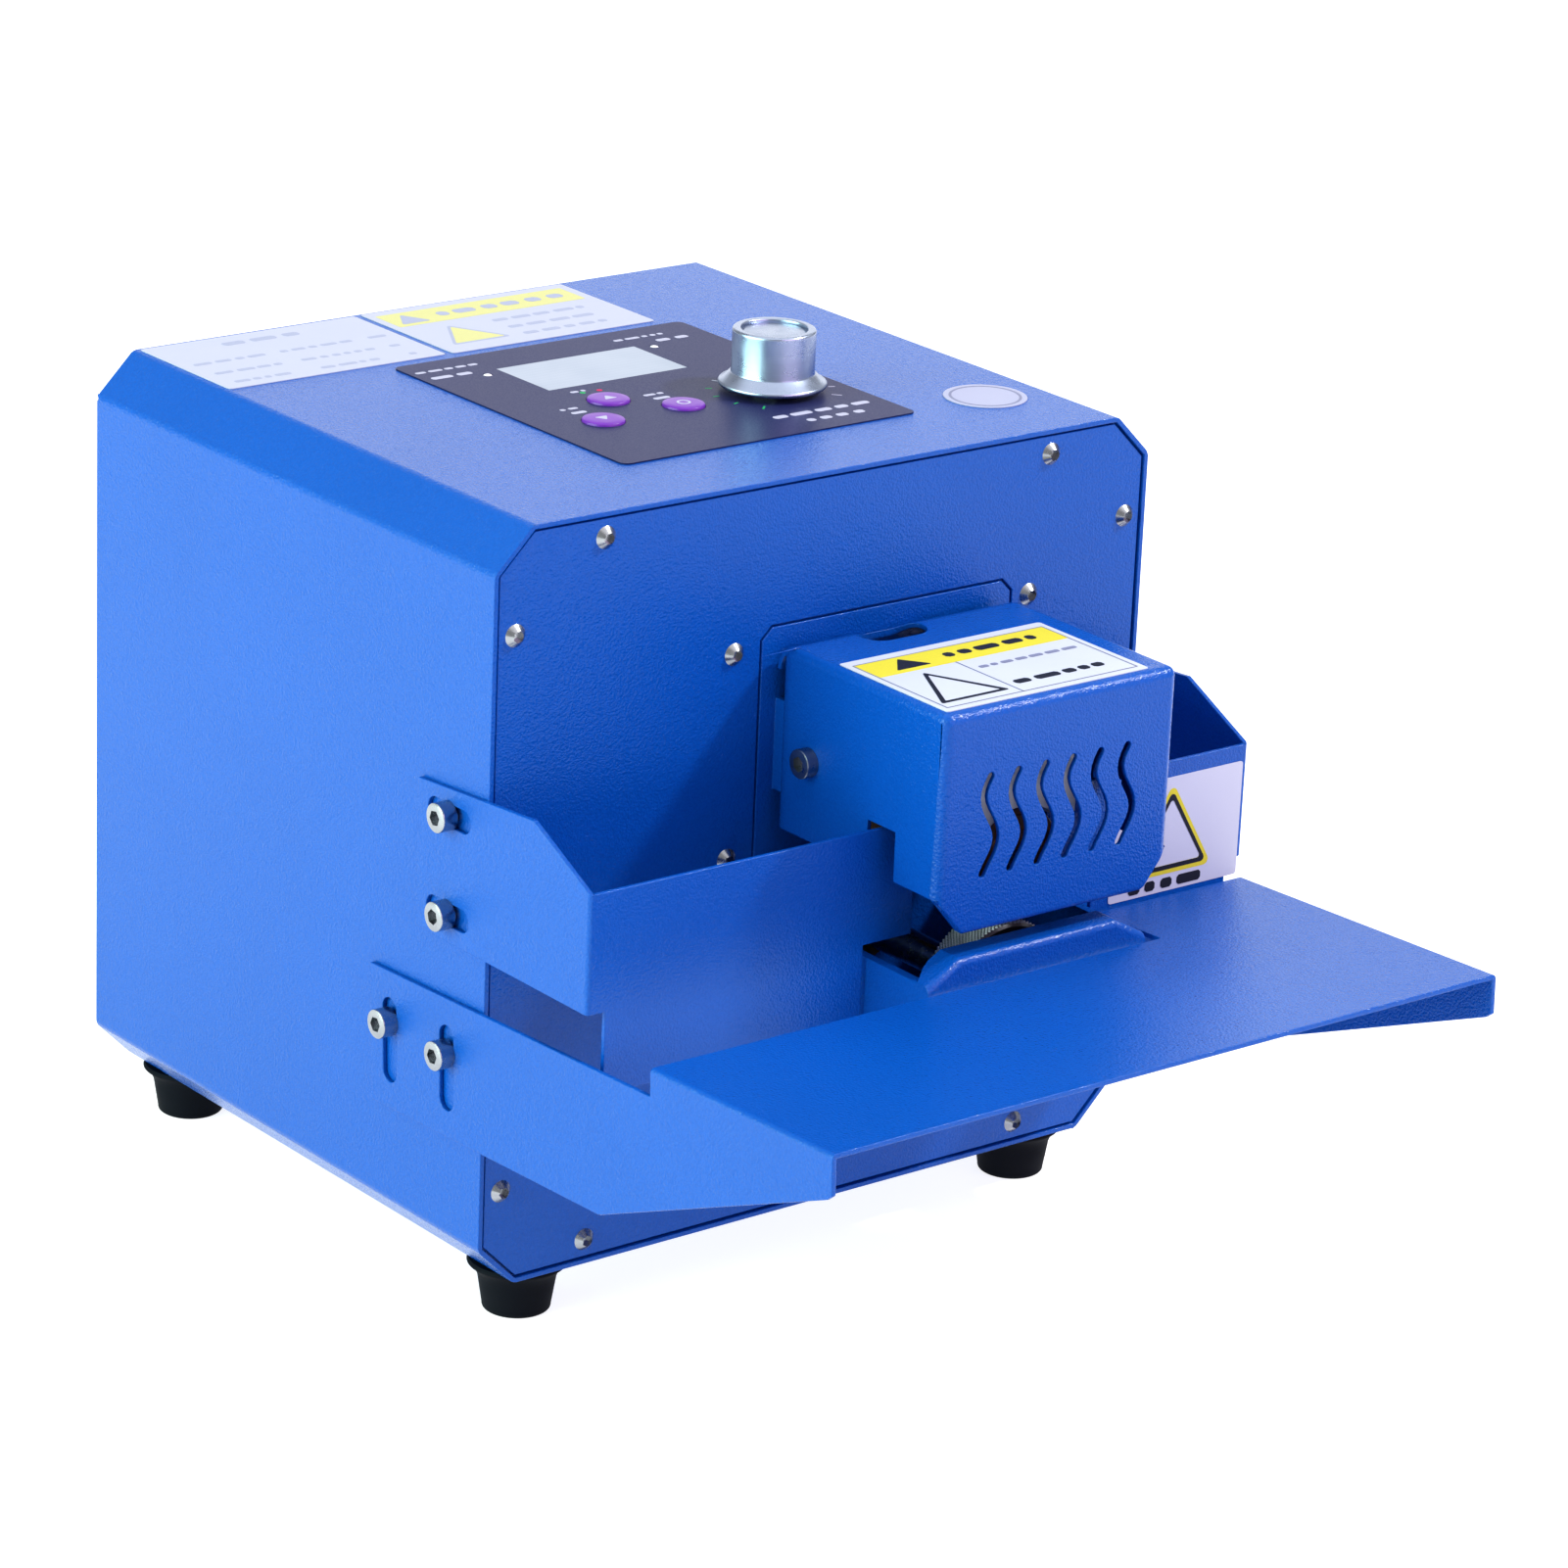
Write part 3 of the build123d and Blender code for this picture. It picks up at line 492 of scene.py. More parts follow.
def softened(node, name, edge, folds=0.0, steps=2, longest=8.0, quartered=False):
    """A CAD sheet or casting with rounded edges: folds where two broad faces meet, edge for all the others.

    A wrap open at its ends is quartered first, so that no rim is one ring-shaped face.
    """
    shape = bmesh.new()
    shape.from_mesh(frame["nodes"][node].data)
    bmesh.ops.remove_doubles(shape, verts=shape.verts, dist=1e-6)
    bmesh.ops.dissolve_limit(shape, angle_limit=math.radians(0.4), verts=shape.verts, edges=shape.edges)
    if quartered:
        centre = sum((v.co for v in shape.verts), Vector()) / len(shape.verts)
        for axis in (Vector((1, 0, 0)), Vector((0, 0, 1))):
            bmesh.ops.bisect_plane(shape, geom=shape.verts[:] + shape.edges[:] + shape.faces[:], dist=1e-7,
                                   plane_co=centre, plane_no=axis)

    def sharp(edges):
        return [e for e in edges if e.is_manifold and abs(e.calc_face_angle_signed()) > math.radians(28)]

    def broad(face):
        return 2 * face.calc_area() / face.calc_perimeter() > 2.2 * mm

    if folds:
        bends = [e for e in sharp(shape.edges)
                 if e.calc_length() > longest * mm and e.calc_face_angle_signed() > 0
                 and all(broad(face) for face in e.link_faces)]
        bmesh.ops.bevel(shape, geom=bends, offset=folds * mm, offset_type="OFFSET", segments=5, profile=0.5,
                        affect="EDGES", clamp_overlap=False)
    bmesh.ops.bevel(shape, geom=sharp(shape.edges), offset=edge * mm, offset_type="OFFSET", segments=steps,
                    profile=0.5, affect="EDGES", clamp_overlap=False)
    piece = from_bmesh(name, shape, finishes[slot_of[node]], 50.0)
    return fitted(weighted(piece), node)


def turned(profile, centre, axis="Z", steps=96):
    """A solid of revolution from (radius, height) points in mm; radius 0 closes an end."""
    shape = bmesh.new()
    rings = []
    for radius, height in profile:
        count = steps if radius > 1e-6 else 1
        ring = []
        for k in range(count):
            a = 2 * math.pi * k / steps
            ring.append(shape.verts.new(Vector((radius * math.cos(a), radius * math.sin(a), height)) * mm))
        rings.append(ring)
    for low, high in zip(rings, rings[1:]):
        for k in range(steps):
            n = (k + 1) % steps
            if len(low) == 1 and len(high) > 1:
                shape.faces.new((low[0], high[k], high[n]))
            elif len(high) == 1 and len(low) > 1:
                shape.faces.new((low[k], low[n], high[0]))
            elif len(low) > 1:
                shape.faces.new((low[k], low[n], high[n], high[k]))
    if len(rings[0]) > 1 and len(rings[-1]) > 1 and profile[0] == profile[-1]:
        bmesh.ops.remove_doubles(shape, verts=shape.verts, dist=1e-7)
    turn = {"Z": Matrix.Identity(4), "Y": Matrix.Rotation(math.radians(-90), 4, "X")}[axis]
    shape.transform(Matrix.Translation(centre) @ turn)
    bmesh.ops.recalc_face_normals(shape, faces=shape.faces)
    return shape


# ------------------------------------------------------------------ recipes in geometry nodes
class Recipe(Graph):
    """A geometry node tree with named inputs, run on a mesh of points."""

    def __init__(self, name, **sizes):
        super().__init__(bpy.data.node_groups.new(name, "GeometryNodeTree"))
        face = self.tree.interface
        face.new_socket("Points", in_out="INPUT", socket_type="NodeSocketGeometry")
        for label, value in sizes.items():
            kind = "NodeSocketInt" if isinstance(value, int) else "NodeSocketFloat"
            face.new_socket(label, in_out="INPUT", socket_type=kind).default_value = value
        face.new_socket("Geometry", in_out="OUTPUT", socket_type="NodeSocketGeometry")
        start = self.tree.nodes.new("NodeGroupInput")
        self.points = Wire(self, start.outputs["Points"])
        self.size = {label: Wire(self, start.outputs[label]) for label in sizes}

    def vector(self, x=0.0, y=0.0, z=0.0):
        return self.node("ShaderNodeCombineXYZ", None, {"X": x, "Y": y, "Z": z})

    def moved(self, geometry, **offset):
        return self.node("GeometryNodeTransform", None,
                         {"Geometry": geometry, "Translation": self.vector(**offset)})

    def cut(self, solid, *tools):
        return self.node("GeometryNodeMeshBoolean", {"operation": "DIFFERENCE", "solver": "EXACT"},
                         {"Mesh 1": solid, "Mesh 2": list(tools)})

    def joined(self, *parts):
        return self.node("GeometryNodeJoinGeometry", None, {"Geometry": list(parts)})

    def on_points(self, piece, rotation):
        return self.node("GeometryNodeInstanceOnPoints", None,
                         {"Points": self.points, "Instance": piece, "Rotation": rotation})

    def end(self, geometry, material):
        solid = self.node("GeometryNodeRealizeInstances", None, {"Geometry": geometry})
        finished = self.node("GeometryNodeSetMaterial", None, {"Geometry": solid, "Material": material})
        out = self.tree.nodes.new("NodeGroupOutput")
        self.tree.links.new(finished.socket, out.inputs["Geometry"])

    def make(self, name, points, directions, material, smooth=30.0, **sizes):
        """Runs the recipe on points that look along directions; sizes set its named inputs."""
        mesh = bpy.data.meshes.new(name)
        mesh.from_pydata([tuple(p) for p in points], [], [])
        facing = mesh.attributes.new("facing", "FLOAT_VECTOR", "POINT")
        facing.data.foreach_set("vector", [c for d in directions for c in d])
        holder = bpy.data.objects.new(name + "_points", mesh)
        bpy.context.scene.collection.objects.link(holder)
        modifier = holder.modifiers.new("recipe", "NODES")
        modifier.node_group = self.tree
        places = {item.name: item.identifier for item in self.tree.interface.items_tree}
        for label, value in sizes.items():
            modifier[places[label]] = value
        graph = bpy.context.evaluated_depsgraph_get()
        made = bpy.data.meshes.new_from_object(holder.evaluated_get(graph), depsgraph=graph)
        bpy.data.objects.remove(holder)
        made.name = name
        return placed(name, made, material, smooth)


def screw_recipe():
    """Socket screws: a crowned, chamfered head with a hexagon socket, and a plain shank under it."""
    r = Recipe("socket_screw", head_radius=0.00475, head_height=0.00275, crown_radius=0.0055, chamfer=0.0004,
               flats=0.003, socket_depth=0.0017, shank_radius=0.0025, shank_length=0.005, seed=3)
    s = r.size
    line = r.node("GeometryNodeCurvePrimitiveLine", None, {"End": r.vector(z=s["head_height"])})
    line = r.node("GeometryNodeResampleCurve", None, {"Curve": line, "Count": 26})
    height = r.node("ShaderNodeSeparateXYZ", None, {"Vector": r.node("GeometryNodeInputPosition")}, out="Z")
    below_top = s["head_height"] - height
    crown = (s["crown_radius"] ** 2 - (s["crown_radius"] - below_top) ** 2).most(0.0) ** 0.5
    radius = s["head_radius"].least(s["head_radius"] - s["chamfer"] + below_top).least(crown).most(0.0003)
    circle = r.node("GeometryNodeCurvePrimitiveCircle", None, {"Resolution": 56, "Radius": 1.0})
    head = r.node("GeometryNodeCurveToMesh", None,
                  {"Curve": line, "Profile Curve": circle, "Scale": radius, "Fill Caps": True})
    corner_radius = s["flats"] / math.sqrt(3)
    hexagon = r.node("GeometryNodeMeshCylinder", None,
                     {"Vertices": 6, "Radius": corner_radius, "Depth": s["socket_depth"] * 2}, out="Mesh")
    flare = r.node("GeometryNodeMeshCone", None,
                   {"Vertices": 56, "Radius Top": corner_radius * 1.45, "Radius Bottom": 0.0,
                    "Depth": corner_radius * 0.9}, out="Mesh")
    head = r.cut(head, r.moved(hexagon, z=s["head_height"]),
                 r.moved(flare, z=s["head_height"] - corner_radius * 0.42))
    shank = r.node("GeometryNodeMeshCylinder", None,
                   {"Vertices": 32, "Radius": s["shank_radius"], "Depth": s["shank_length"]}, out="Mesh")
    shank = r.moved(shank, z=s["shank_length"] * -0.5)
    facing = r.node("GeometryNodeInputNamedAttribute", {"data_type": "FLOAT_VECTOR"}, {"Name": "facing"})
    upright = r.node("FunctionNodeAlignRotationToVector", {"axis": "Z"}, {"Vector": facing})
    angle = r.node("FunctionNodeRandomValue", {"data_type": "FLOAT"},
                   {"Min_001": 0.0, "Max_001": math.tau, "Seed": s["seed"]}, out="Value_001")
    spin = r.node("FunctionNodeAxisAngleToRotation", None, {"Angle": angle})
    turn = r.node("FunctionNodeRotateRotation", {"rotation_space": "LOCAL"},
                  {"Rotation": upright, "Rotate By": spin})
    r.end(r.on_points(r.joined(head, shank), turn), finishes["zinc_steel"])
    return r


def knurl_recipe():
    """Diamond knurl: four-sided points set in staggered rows round a wheel that turns about y."""
    r = Recipe("diamond_knurl", radius=0.0205, width=0.0125, around=96, rows=17, depth=0.0005)
    s = r.size
    index = r.node("GeometryNodeInputIndex")
    row = (index / s["around"]).floor()
    angle = (index % s["around"] + row % 2.0 * 0.5) / s["around"] * math.tau
    across, along = angle.cosine(), angle.sine()
    y = ((row + 0.5) / s["rows"] - 0.5) * s["width"]
    spots = r.node("GeometryNodePoints", None,
                   {"Count": s["around"] * s["rows"],
                    "Position": r.vector(across * s["radius"], y, along * s["radius"])})
    half = s["radius"] * math.pi / s["around"]
    tooth = r.node("GeometryNodeMeshCone", {"fill_type": "NONE"},
                   {"Vertices": 4, "Radius Top": half * 0.3, "Radius Bottom": half * 0.86,
                    "Depth": s["depth"]}, out="Mesh")
    stand = r.node("FunctionNodeAxesToRotation", {"primary_axis": "Z", "secondary_axis": "Y"},
                   {"Primary Axis": r.vector(across, 0.0, along), "Secondary Axis": (0.0, 1.0, 0.0)})
    teeth = r.node("GeometryNodeInstanceOnPoints", None,
                   {"Points": spots, "Instance": tooth, "Rotation": stand})
    r.end(r.on_points(teeth, (0.0, 0.0, 0.0)), finishes["wheel_steel"])
    return r


# ------------------------------------------------------------------ screws
screw = screw_recipe()


def screw_set(node, name, **sizes):
    """Screws of one CAD node; each head looks away from the cabinet along its solid's long axis."""
    spots, ways = [], []
    centre = middle("cabinet_shell")
    for low, high in solids(node):
        length = high - low
        axis = max(range(3), key=lambda i: length[i]) if node not in flat_heads else flat_heads[node]
        sign = 1 if (low + high)[axis] / 2 > centre[axis] else -1
        tip = high[axis] if sign > 0 else low[axis]
        spot = (low + high) / 2
        spot[axis] = tip - sign * sizes["head_height"] / mm
        way = Vector((0, 0, 0))
        way[axis] = sign
        spots.append(at(*spot))
        ways.append(way)
    return fitted(screw.make(name, spots, ways, finishes[slot_of[node]], 35.0, **sizes), node)


def crown_for(radius, height):
    """Sphere radius of a domed head of that radius and height."""
    return (radius ** 2 + height ** 2) / (2 * height)


flat_heads = {"front_panel_screws": 1, "rear_panel_screws": 1, "mechanism_screws": 1, "head_cover_screws": 0,
              "guard_screws": 0, "table_screws": 0, "inlet_screws": 1, "foot_screws": 2}
button = dict(head_radius=0.00475, head_height=0.00272, crown_radius=crown_for(0.00475, 0.00272),
              chamfer=0.004, flats=0.003, socket_depth=0.0024, shank_length=0.0045)
cap = dict(head_radius=0.00425, head_height=0.00496, crown_radius=0.03, chamfer=0.0005, flats=0.004,
           socket_depth=0.0026, shank_length=0.0085)
for index, (node, name) in enumerate([("front_panel_screws", "front_button_screws"),
                                      ("rear_panel_screws", "rear_button_screws"),
                                      ("mechanism_screws", "mechanism_button_screws")]):
    screw_set(node, name, seed=3 + index, **button)
for index, (node, name) in enumerate([("guard_screws", "guard_cap_screws"),
                                      ("table_screws", "table_cap_screws")]):
    screw_set(node, name, seed=11 + index, **cap)
screw_set("head_cover_screws", "head_cap_screws", seed=17, head_radius=0.00425, head_height=0.00396,
          crown_radius=0.03, chamfer=0.0005, flats=0.004, socket_depth=0.0022, shank_length=0.005)

# ------------------------------------------------------------------ sheet metal and castings
softened("cabinet_shell", "cabinet_wrap", 0.25, folds=1.3, quartered=True)
softened("front_panel", "front_plate", 0.3)
softened("rear_panel", "rear_plate", 0.3)
softened("mechanism_plate", "mechanism_base", 0.3)
softened("head_cover", "head_hood", 0.3, folds=1.7)
softened("lower_wheel_housing", "wheel_box", 0.3)
softened("film_guard", "guard_sheet", 0.3, folds=1.1)
softened("feed_table", "table_sheet", 0.35, folds=0.9)
softened("heater_block", "heater_saddle", 0.4)
softened("mains_inlet", "inlet_body", 0.4)
softened("switch_bezel", "rocker_bezel", 0.5, steps=3)
softened("switch_rocker", "rocker_paddle", 0.6, steps=3)

# ------------------------------------------------------------------ wheels
wheel_low, wheel_high = span("knurled_wheel")
wheel_mid = middle("knurled_wheel")
wheel_y = [wheel_low.y, wheel_high.y]
rim = (wheel_high.x - wheel_low.x) / 2
face_width = 12.5
knurl_depth = 0.5


def knurled_wheel():
    """The driven wheel: a knurled rim between plain edges, dished web and hub."""
    bore, hub = 5.05, 9.9
    tread = rim - knurl_depth
    y0 = wheel_y[0]
    profile = [(bore, 1.2), (hub - 0.6, 1.2), (hub, 1.6), (hub + 1.2, 2.6), (tread - 4.2, 2.6),
               (tread - 3.0, 1.4), (tread - 2.6, 0.3), (tread - 0.9, 0.0), (tread - 0.1, 0.7),
               (tread - 0.1, face_width - 0.7),
               (tread - 0.9, face_width), (hub, face_width), (hub, wheel_y[1] - y0 - 0.4),
               (hub - 0.4, wheel_y[1] - y0), (bore, wheel_y[1] - y0), (bore, 1.2)]
    shape = turned(profile, at(wheel_mid.x, y0, wheel_mid.z), "Y")
    # The wheel body's dark steel is painted shade between the knurl teeth.
    fitted(from_bmesh("driven_wheel", shape, finishes["knurl_gap_painted_shade"]), "knurled_wheel")
    spot = at(wheel_mid.x, y0 + face_width / 2, wheel_mid.z)
    teeth = knurl_recipe().make("wheel_knurl", [spot], [Vector((0, 1, 0))], finishes["wheel_steel"], 20.0,
                                radius=(tread - 0.12) * mm, width=(face_width - 1.4) * mm,
                                around=100, rows=17, depth=knurl_depth * mm)
    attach(teeth, body_of["knurled_wheel"])


def heat_wheel():
    """The heat wheel: a crowned rim in its brown sleeve, with a groove beside each edge."""
    low, high = span("heat_wheel")
    mid = middle("heat_wheel")
    radius = (high.x - low.x) / 2
    y0 = low.y
    profile = [(5.05, 0.6), (9.0, 0.6), (10.0, 1.4), (radius - 3.4, 1.4), (radius - 2.4, 0.2),
               (radius - 0.6, 0.0), (radius - 0.15, 0.5), (radius - 0.1, 2.2), (radius - 0.6, 2.5),
               (radius - 0.6, 3.0),
               (radius, 3.3), (radius, 9.2), (radius - 0.6, 9.5), (radius - 0.6, 10.0), (radius - 0.1, 10.3),
               (radius - 0.15, 12.0), (radius - 0.6, 12.5), (7.5, 12.5), (7.5, high.y - y0),
               (5.05, high.y - y0), (5.05, 0.6)]
    shape = turned(profile, at(mid.x, y0, mid.z), "Y")
    fitted(from_bmesh("sleeved_heat_wheel", shape, finishes["ptfe_brown"]), "heat_wheel")


knurled_wheel()
heat_wheel()


# ------------------------------------------------------------------ knob, keys and lamps
def arc(centre_r, centre_z, radius, start, end, count=6):
    """Points of a quarter round in a profile, angles in degrees."""
    points = []
    for k in range(count + 1):
        a = math.radians(start + (end - start) * k / count)
        points.append((centre_r + radius * math.cos(a), centre_z + radius * math.sin(a)))
    return points


def knob():
    """Turned knob: rounded conical skirt, straight body, bright rim and a sunk top disc."""
    low, high = span("temperature_knob")
    skirt = (high.x - low.x) / 2
    body, top, disc = 12.2, high.z - low.z, 9.7
    profile = [(9.6, 0.0), (skirt - 1.6, 0.0)] + arc(skirt - 0.9, 0.95, 0.9, -75, 55, 8)
    profile += [(skirt - 1.6, 2.25), (body + 0.5, 3.95), (body + 0.12, 4.2), (body, 4.7)]
    profile += [(body, top - 0.9)] + arc(body - 0.8, top - 0.8, 0.8, 5, 90, 5)
    profile += [(disc + 0.5, top)] + arc(disc + 0.45, top - 0.45, 0.45, 95, 180, 4)
    profile += [(disc, top - 1.25), (disc - 0.35, top - 1.3), (disc - 0.7, top - 1.0),
                (disc - 1.1, top - 0.92), (4.0, top - 0.92), (0.0, top - 0.95)]
    shape = turned([(0.0, 5.0), (9.6, 5.0)] + profile, at(*middle("temperature_knob").xy, low.z), steps=128)
    fitted(from_bmesh("turned_knob", shape, finishes["knob_aluminium"]), "temperature_knob")


def key_cap(node):
    """Round glossy key with a soft crown and its wider foot under the panel."""
    low, high = span(node)
    wide = (high.x - low.x) / 2
    radius = wide - 1.4
    tall = high.z - low.z
    crown = [(radius, tall - 0.75)] + arc(radius - 0.6, tall - 0.62, 0.5, 15, 70, 4)
    crown += [(radius * 0.62, tall - 0.04), (radius * 0.3, tall), (0.0, tall)]
    profile = [(0.0, 0.0), (wide, 0.0), (wide, 1.7), (radius, 1.8)] + crown
    shape = turned(profile, at(*middle(node).xy, low.z), steps=72)
    fitted(from_bmesh(node + "_cap", shape, finishes["key_purple"]), node)


def gathered(whole, shape):
    """Adds a shape to the ones already in the whole, and frees it."""
    mesh = bpy.data.meshes.new("shape")
    shape.to_mesh(mesh)
    shape.free()
    whole.from_mesh(mesh)


def lamp_domes():
    """The two small lenses: short rods with a domed tip."""
    whole = bmesh.new()
    for low, high in solids("indicator_leds"):
        radius = (high.x - low.x) / 2
        tall = high.z - low.z
        dome = [(radius, tall - 0.8)] + arc(0.0, tall - 0.8, radius, 0, 90, 6)
        crown = [(r, tall - 0.8 + (z - tall + 0.8) * 0.5) for r, z in dome[:-1]]
        profile = [(0.0, 0.0), (radius, 0.0)] + crown + [(0.0, tall - 0.05)]
        lens = turned(profile, at((low.x + high.x) / 2, (low.y + high.y) / 2, low.z), steps=40)
        gathered(whole, lens)
    fitted(from_bmesh("lamp_lenses", whole, finishes["led_red"]), "indicator_leds")


def feet():
    """Moulded feet: rounded rim at the cabinet, waisted cone, soft lower edge."""
    whole = bmesh.new()
    for low, high in solids("rubber_feet"):
        rim_r = (high.x - low.x) / 2
        tall = high.z - low.z
        profile = [(5.0, 0.6), (5.6, 0.0), (8.4, 0.0)] + arc(8.7, 1.2, 1.2, -85, 10, 5)
        profile += [(10.4, 4.6), (11.0, 8.4), (11.3, 10.2), (11.9, 11.8), (12.9, 13.0)]
        profile += arc(rim_r - 0.7, tall - 0.9, 0.7, -50, 60, 5)
        profile += [(rim_r - 0.5, tall), (2.0, tall), (2.0, 9.5), (5.0, 9.5), (5.0, 0.6)]
        foot = turned(profile, at((low.x + high.x) / 2, (low.y + high.y) / 2, low.z), steps=72)
        gathered(whole, foot)
    fitted(from_bmesh("moulded_feet", whole, finishes["black_rubber"]), "rubber_feet")


knob()
for node in ("key_up", "key_down", "key_set"):
    key_cap(node)
lamp_domes()
feet()


# ------------------------------------------------------------------ labels and print
def bar(u0, u1, v0, v1, radius=0.3, corner_steps=3):
    """Outline of a rectangle with rounded corners."""
    r = min(radius, (u1 - u0) / 2.01, (v1 - v0) / 2.01)
    points = []
    corners = ((u1 - r, v0 + r, -90), (u1 - r, v1 - r, 0), (u0 + r, v1 - r, 90), (u0 + r, v0 + r, 180))
    for cu, cv, start in corners:
        for k in range(corner_steps + 1):
            a = math.radians(start + 90 * k / corner_steps)
            points.append((cu + r * math.cos(a), cv + r * math.sin(a)))
    return points


def disc(u, v, radius, steps=24):
    return [(u + radius * math.cos(math.tau * k / steps), v + radius * math.sin(math.tau * k / steps))
            for k in range(steps)]


def rounded(corners, radius, steps=4):
    """Outline of a convex polygon, corners anticlockwise, with its corners rounded."""
    points = []
    for k, corner_point in enumerate(corners):
        here = Vector(corner_point)
        before = (Vector(corners[k - 1]) - here).normalized()
        after = (Vector(corners[(k + 1) % len(corners)]) - here).normalized()
        half = before.angle(after) / 2
        centre = here + (before + after).normalized() * radius / math.sin(half)
        start = here + before * radius / math.tan(half) - centre
        sweep = math.pi - 2 * half
        for step in range(steps + 1):
            a = sweep * step / steps
            points.append((centre.x + start.x * math.cos(a) - start.y * math.sin(a),
                           centre.y + start.x * math.sin(a) + start.y * math.cos(a)))
    return points


def triangle(u, v0, v1, half, radius):
    """Upright triangle with its base at v0 and its tip at v1."""
    return rounded([(u - half, v0), (u + half, v0), (u, v1)], radius)


def words(u0, u1, v, height, seed, spaced=1.0):
    """A line of short dashes of uneven length, standing for small print."""
    draw = random.Random(seed)
    bars, u = [], u0
    while u < u1 - height:
        length = min(height * draw.uniform(0.9, 3.2), u1 - u)
        bars.append(bar(u, u + length, v - height / 2, v + height / 2, height * 0.25, 1))
        u += length + height * draw.uniform(0.45, 0.8) * spaced
    return bars


class Sheet:
    """A printing plane: u and v run across it and rise says how far a layer stands off it."""

    def __init__(self, origin, across, up):
        self.origin = origin
        self.across = Vector(across)
        self.up = Vector(up)
        self.out = self.across.cross(self.up)

    def point(self, uv, rise):
        return self.origin + (self.across * uv[0] + self.up * uv[1] + self.out * rise) * mm

    def slab(self, shape, outline, low, high):
        """A closed plate between two heights."""
        under = [shape.verts.new(self.point(p, low)) for p in outline]
        over = [shape.verts.new(self.point(p, high)) for p in outline]
        shape.faces.new(over)
        shape.faces.new(under[::-1])
        for k in range(len(outline)):
            n = (k + 1) % len(outline)
            shape.faces.new((under[k], under[n], over[n], over[k]))

    def band(self, shape, outer, inner, low, high):
        """A closed ring plate between an outer and an inner outline of as many points."""
        loops = [[shape.verts.new(self.point(p, rise)) for p in line]
                 for line, rise in ((outer, low), (outer, high), (inner, high), (inner, low))]
        for first, second in zip(loops, loops[1:] + loops[:1]):
            for k in range(len(outer)):
                n = (k + 1) % len(outer)
                shape.faces.new((first[k], first[n], second[n], second[k]))

    def printed(self, name, solid, rings, body, material, low=0.0, high=0.04):
        """Ink: solid outlines and (outer, inner) rings, raised a little off the plane."""
        shape = bmesh.new()
        for outline in solid:
            self.slab(shape, outline, low, high)
        for outer, inner in rings:
            self.band(shape, outer, inner, low, high)
        piece = from_bmesh(name, shape, material, 20.0)
        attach(piece, body)
        return piece


def label(node, name, sheet, low, high, radius=1.2, stock="label_white"):
    """A die-cut label in place of its plain CAD plate."""
    shape = bmesh.new()
    thick = 0.2
    sheet.slab(shape, bar(low[0], high[0], low[1], high[1], radius, 5), -thick, 0.0)
    fitted(from_bmesh(name, shape, finishes[stock], 20.0), node)


def frame_line(u0, u1, v0, v1, width, radius=0.8):
    """A thin border: an outer and an inner outline."""
    inner = bar(u0 + width, u1 - width, v0 + width, v1 - width, max(0.1, radius - width))
    return bar(u0, u1, v0, v1, radius), inner


ink_rise = 0.04
top_z = span("top_label_left")[1].z
top_sheet = Sheet(at(0, 0, top_z), (1, 0, 0), (0, 1, 0))


def left_label():
    """The top's left label, in stock darkened as painted shade: a heading and three rows of dashes in grey
    ink lightened as a painted highlight.
    """
    low, high = span("top_label_left")
    label("top_label_left", "notes_label", top_sheet, low, high, stock="label_painted_shade")
    lines = words(37.5, 64, 191.3, 3.2, 5)
    for row, v in enumerate((176.6, 165.9, 156.1)):
        for column, (u0, u1) in enumerate(((18.2, 43.5), (48.0, 76.0), (79.0, 87.0))):
            lines += words(u0 + row * 0.4, u1 - row * 2.0, v, 2.0, 20 + row * 3 + column)
    top_sheet.printed("notes_lines", lines, [], "cabinet", painted_highlight_grey_ink)


def right_label():
    """The top's right label, in stock darkened as painted shade: a yellow band, a yellow triangle and three
    rows of dashes, all in inks lightened as a painted highlight.
    """
    low, high = span("top_label_right")
    label("top_label_right", "band_label", top_sheet, low, high, stock="label_painted_shade")
    yellow = [bar(94.0, 162.2, 181.4, 195.2, 0.5)]
    outer = triangle(107.2, 157.6, 176.6, 10.6, 0.9)
    inner = triangle(107.2, 158.6, 174.6, 8.9, 0.5)
    top_sheet.printed("band_label_yellow", yellow + [inner], [], "cabinet", pale_yellow_ink)
    lines = words(112.0, 158.0, 188.3, 4.2, 31)
    grey = words(122.5, 156.0, 174.2, 2.4, 33) + words(122.5, 156.0, 166.0, 2.4, 34)
    grey += words(122.5, 153.0, 158.2, 2.4, 35)
    top_sheet.printed("band_label_lines", grey, [(outer, inner)], "cabinet", painted_highlight_grey_ink)
    heading = lines + [triangle(101.5, 183.6, 193.0, 5.2, 0.6)]
    top_sheet.printed("band_label_heading", heading, [], "cabinet", painted_highlight_grey_ink, ink_rise, 2 * ink_rise)


def round_label():
    """A blank round sticker with a thin ring."""
    low, high = span("round_sticker")
    u, v = middle("round_sticker").xy
    radius = (high.x - low.x) / 2
    shape = bmesh.new()
    top_sheet.slab(shape, disc(u, v, radius, 64), -0.2, 0.0)
    fitted(from_bmesh("round_label", shape, finishes["sticker_stock"], 20.0), "round_sticker")
    top_sheet.printed("round_label_ring", [], [(disc(u, v, radius - 1.6, 64), disc(u, v, radius - 2.4, 64))],
                      "cabinet", grey_ink)


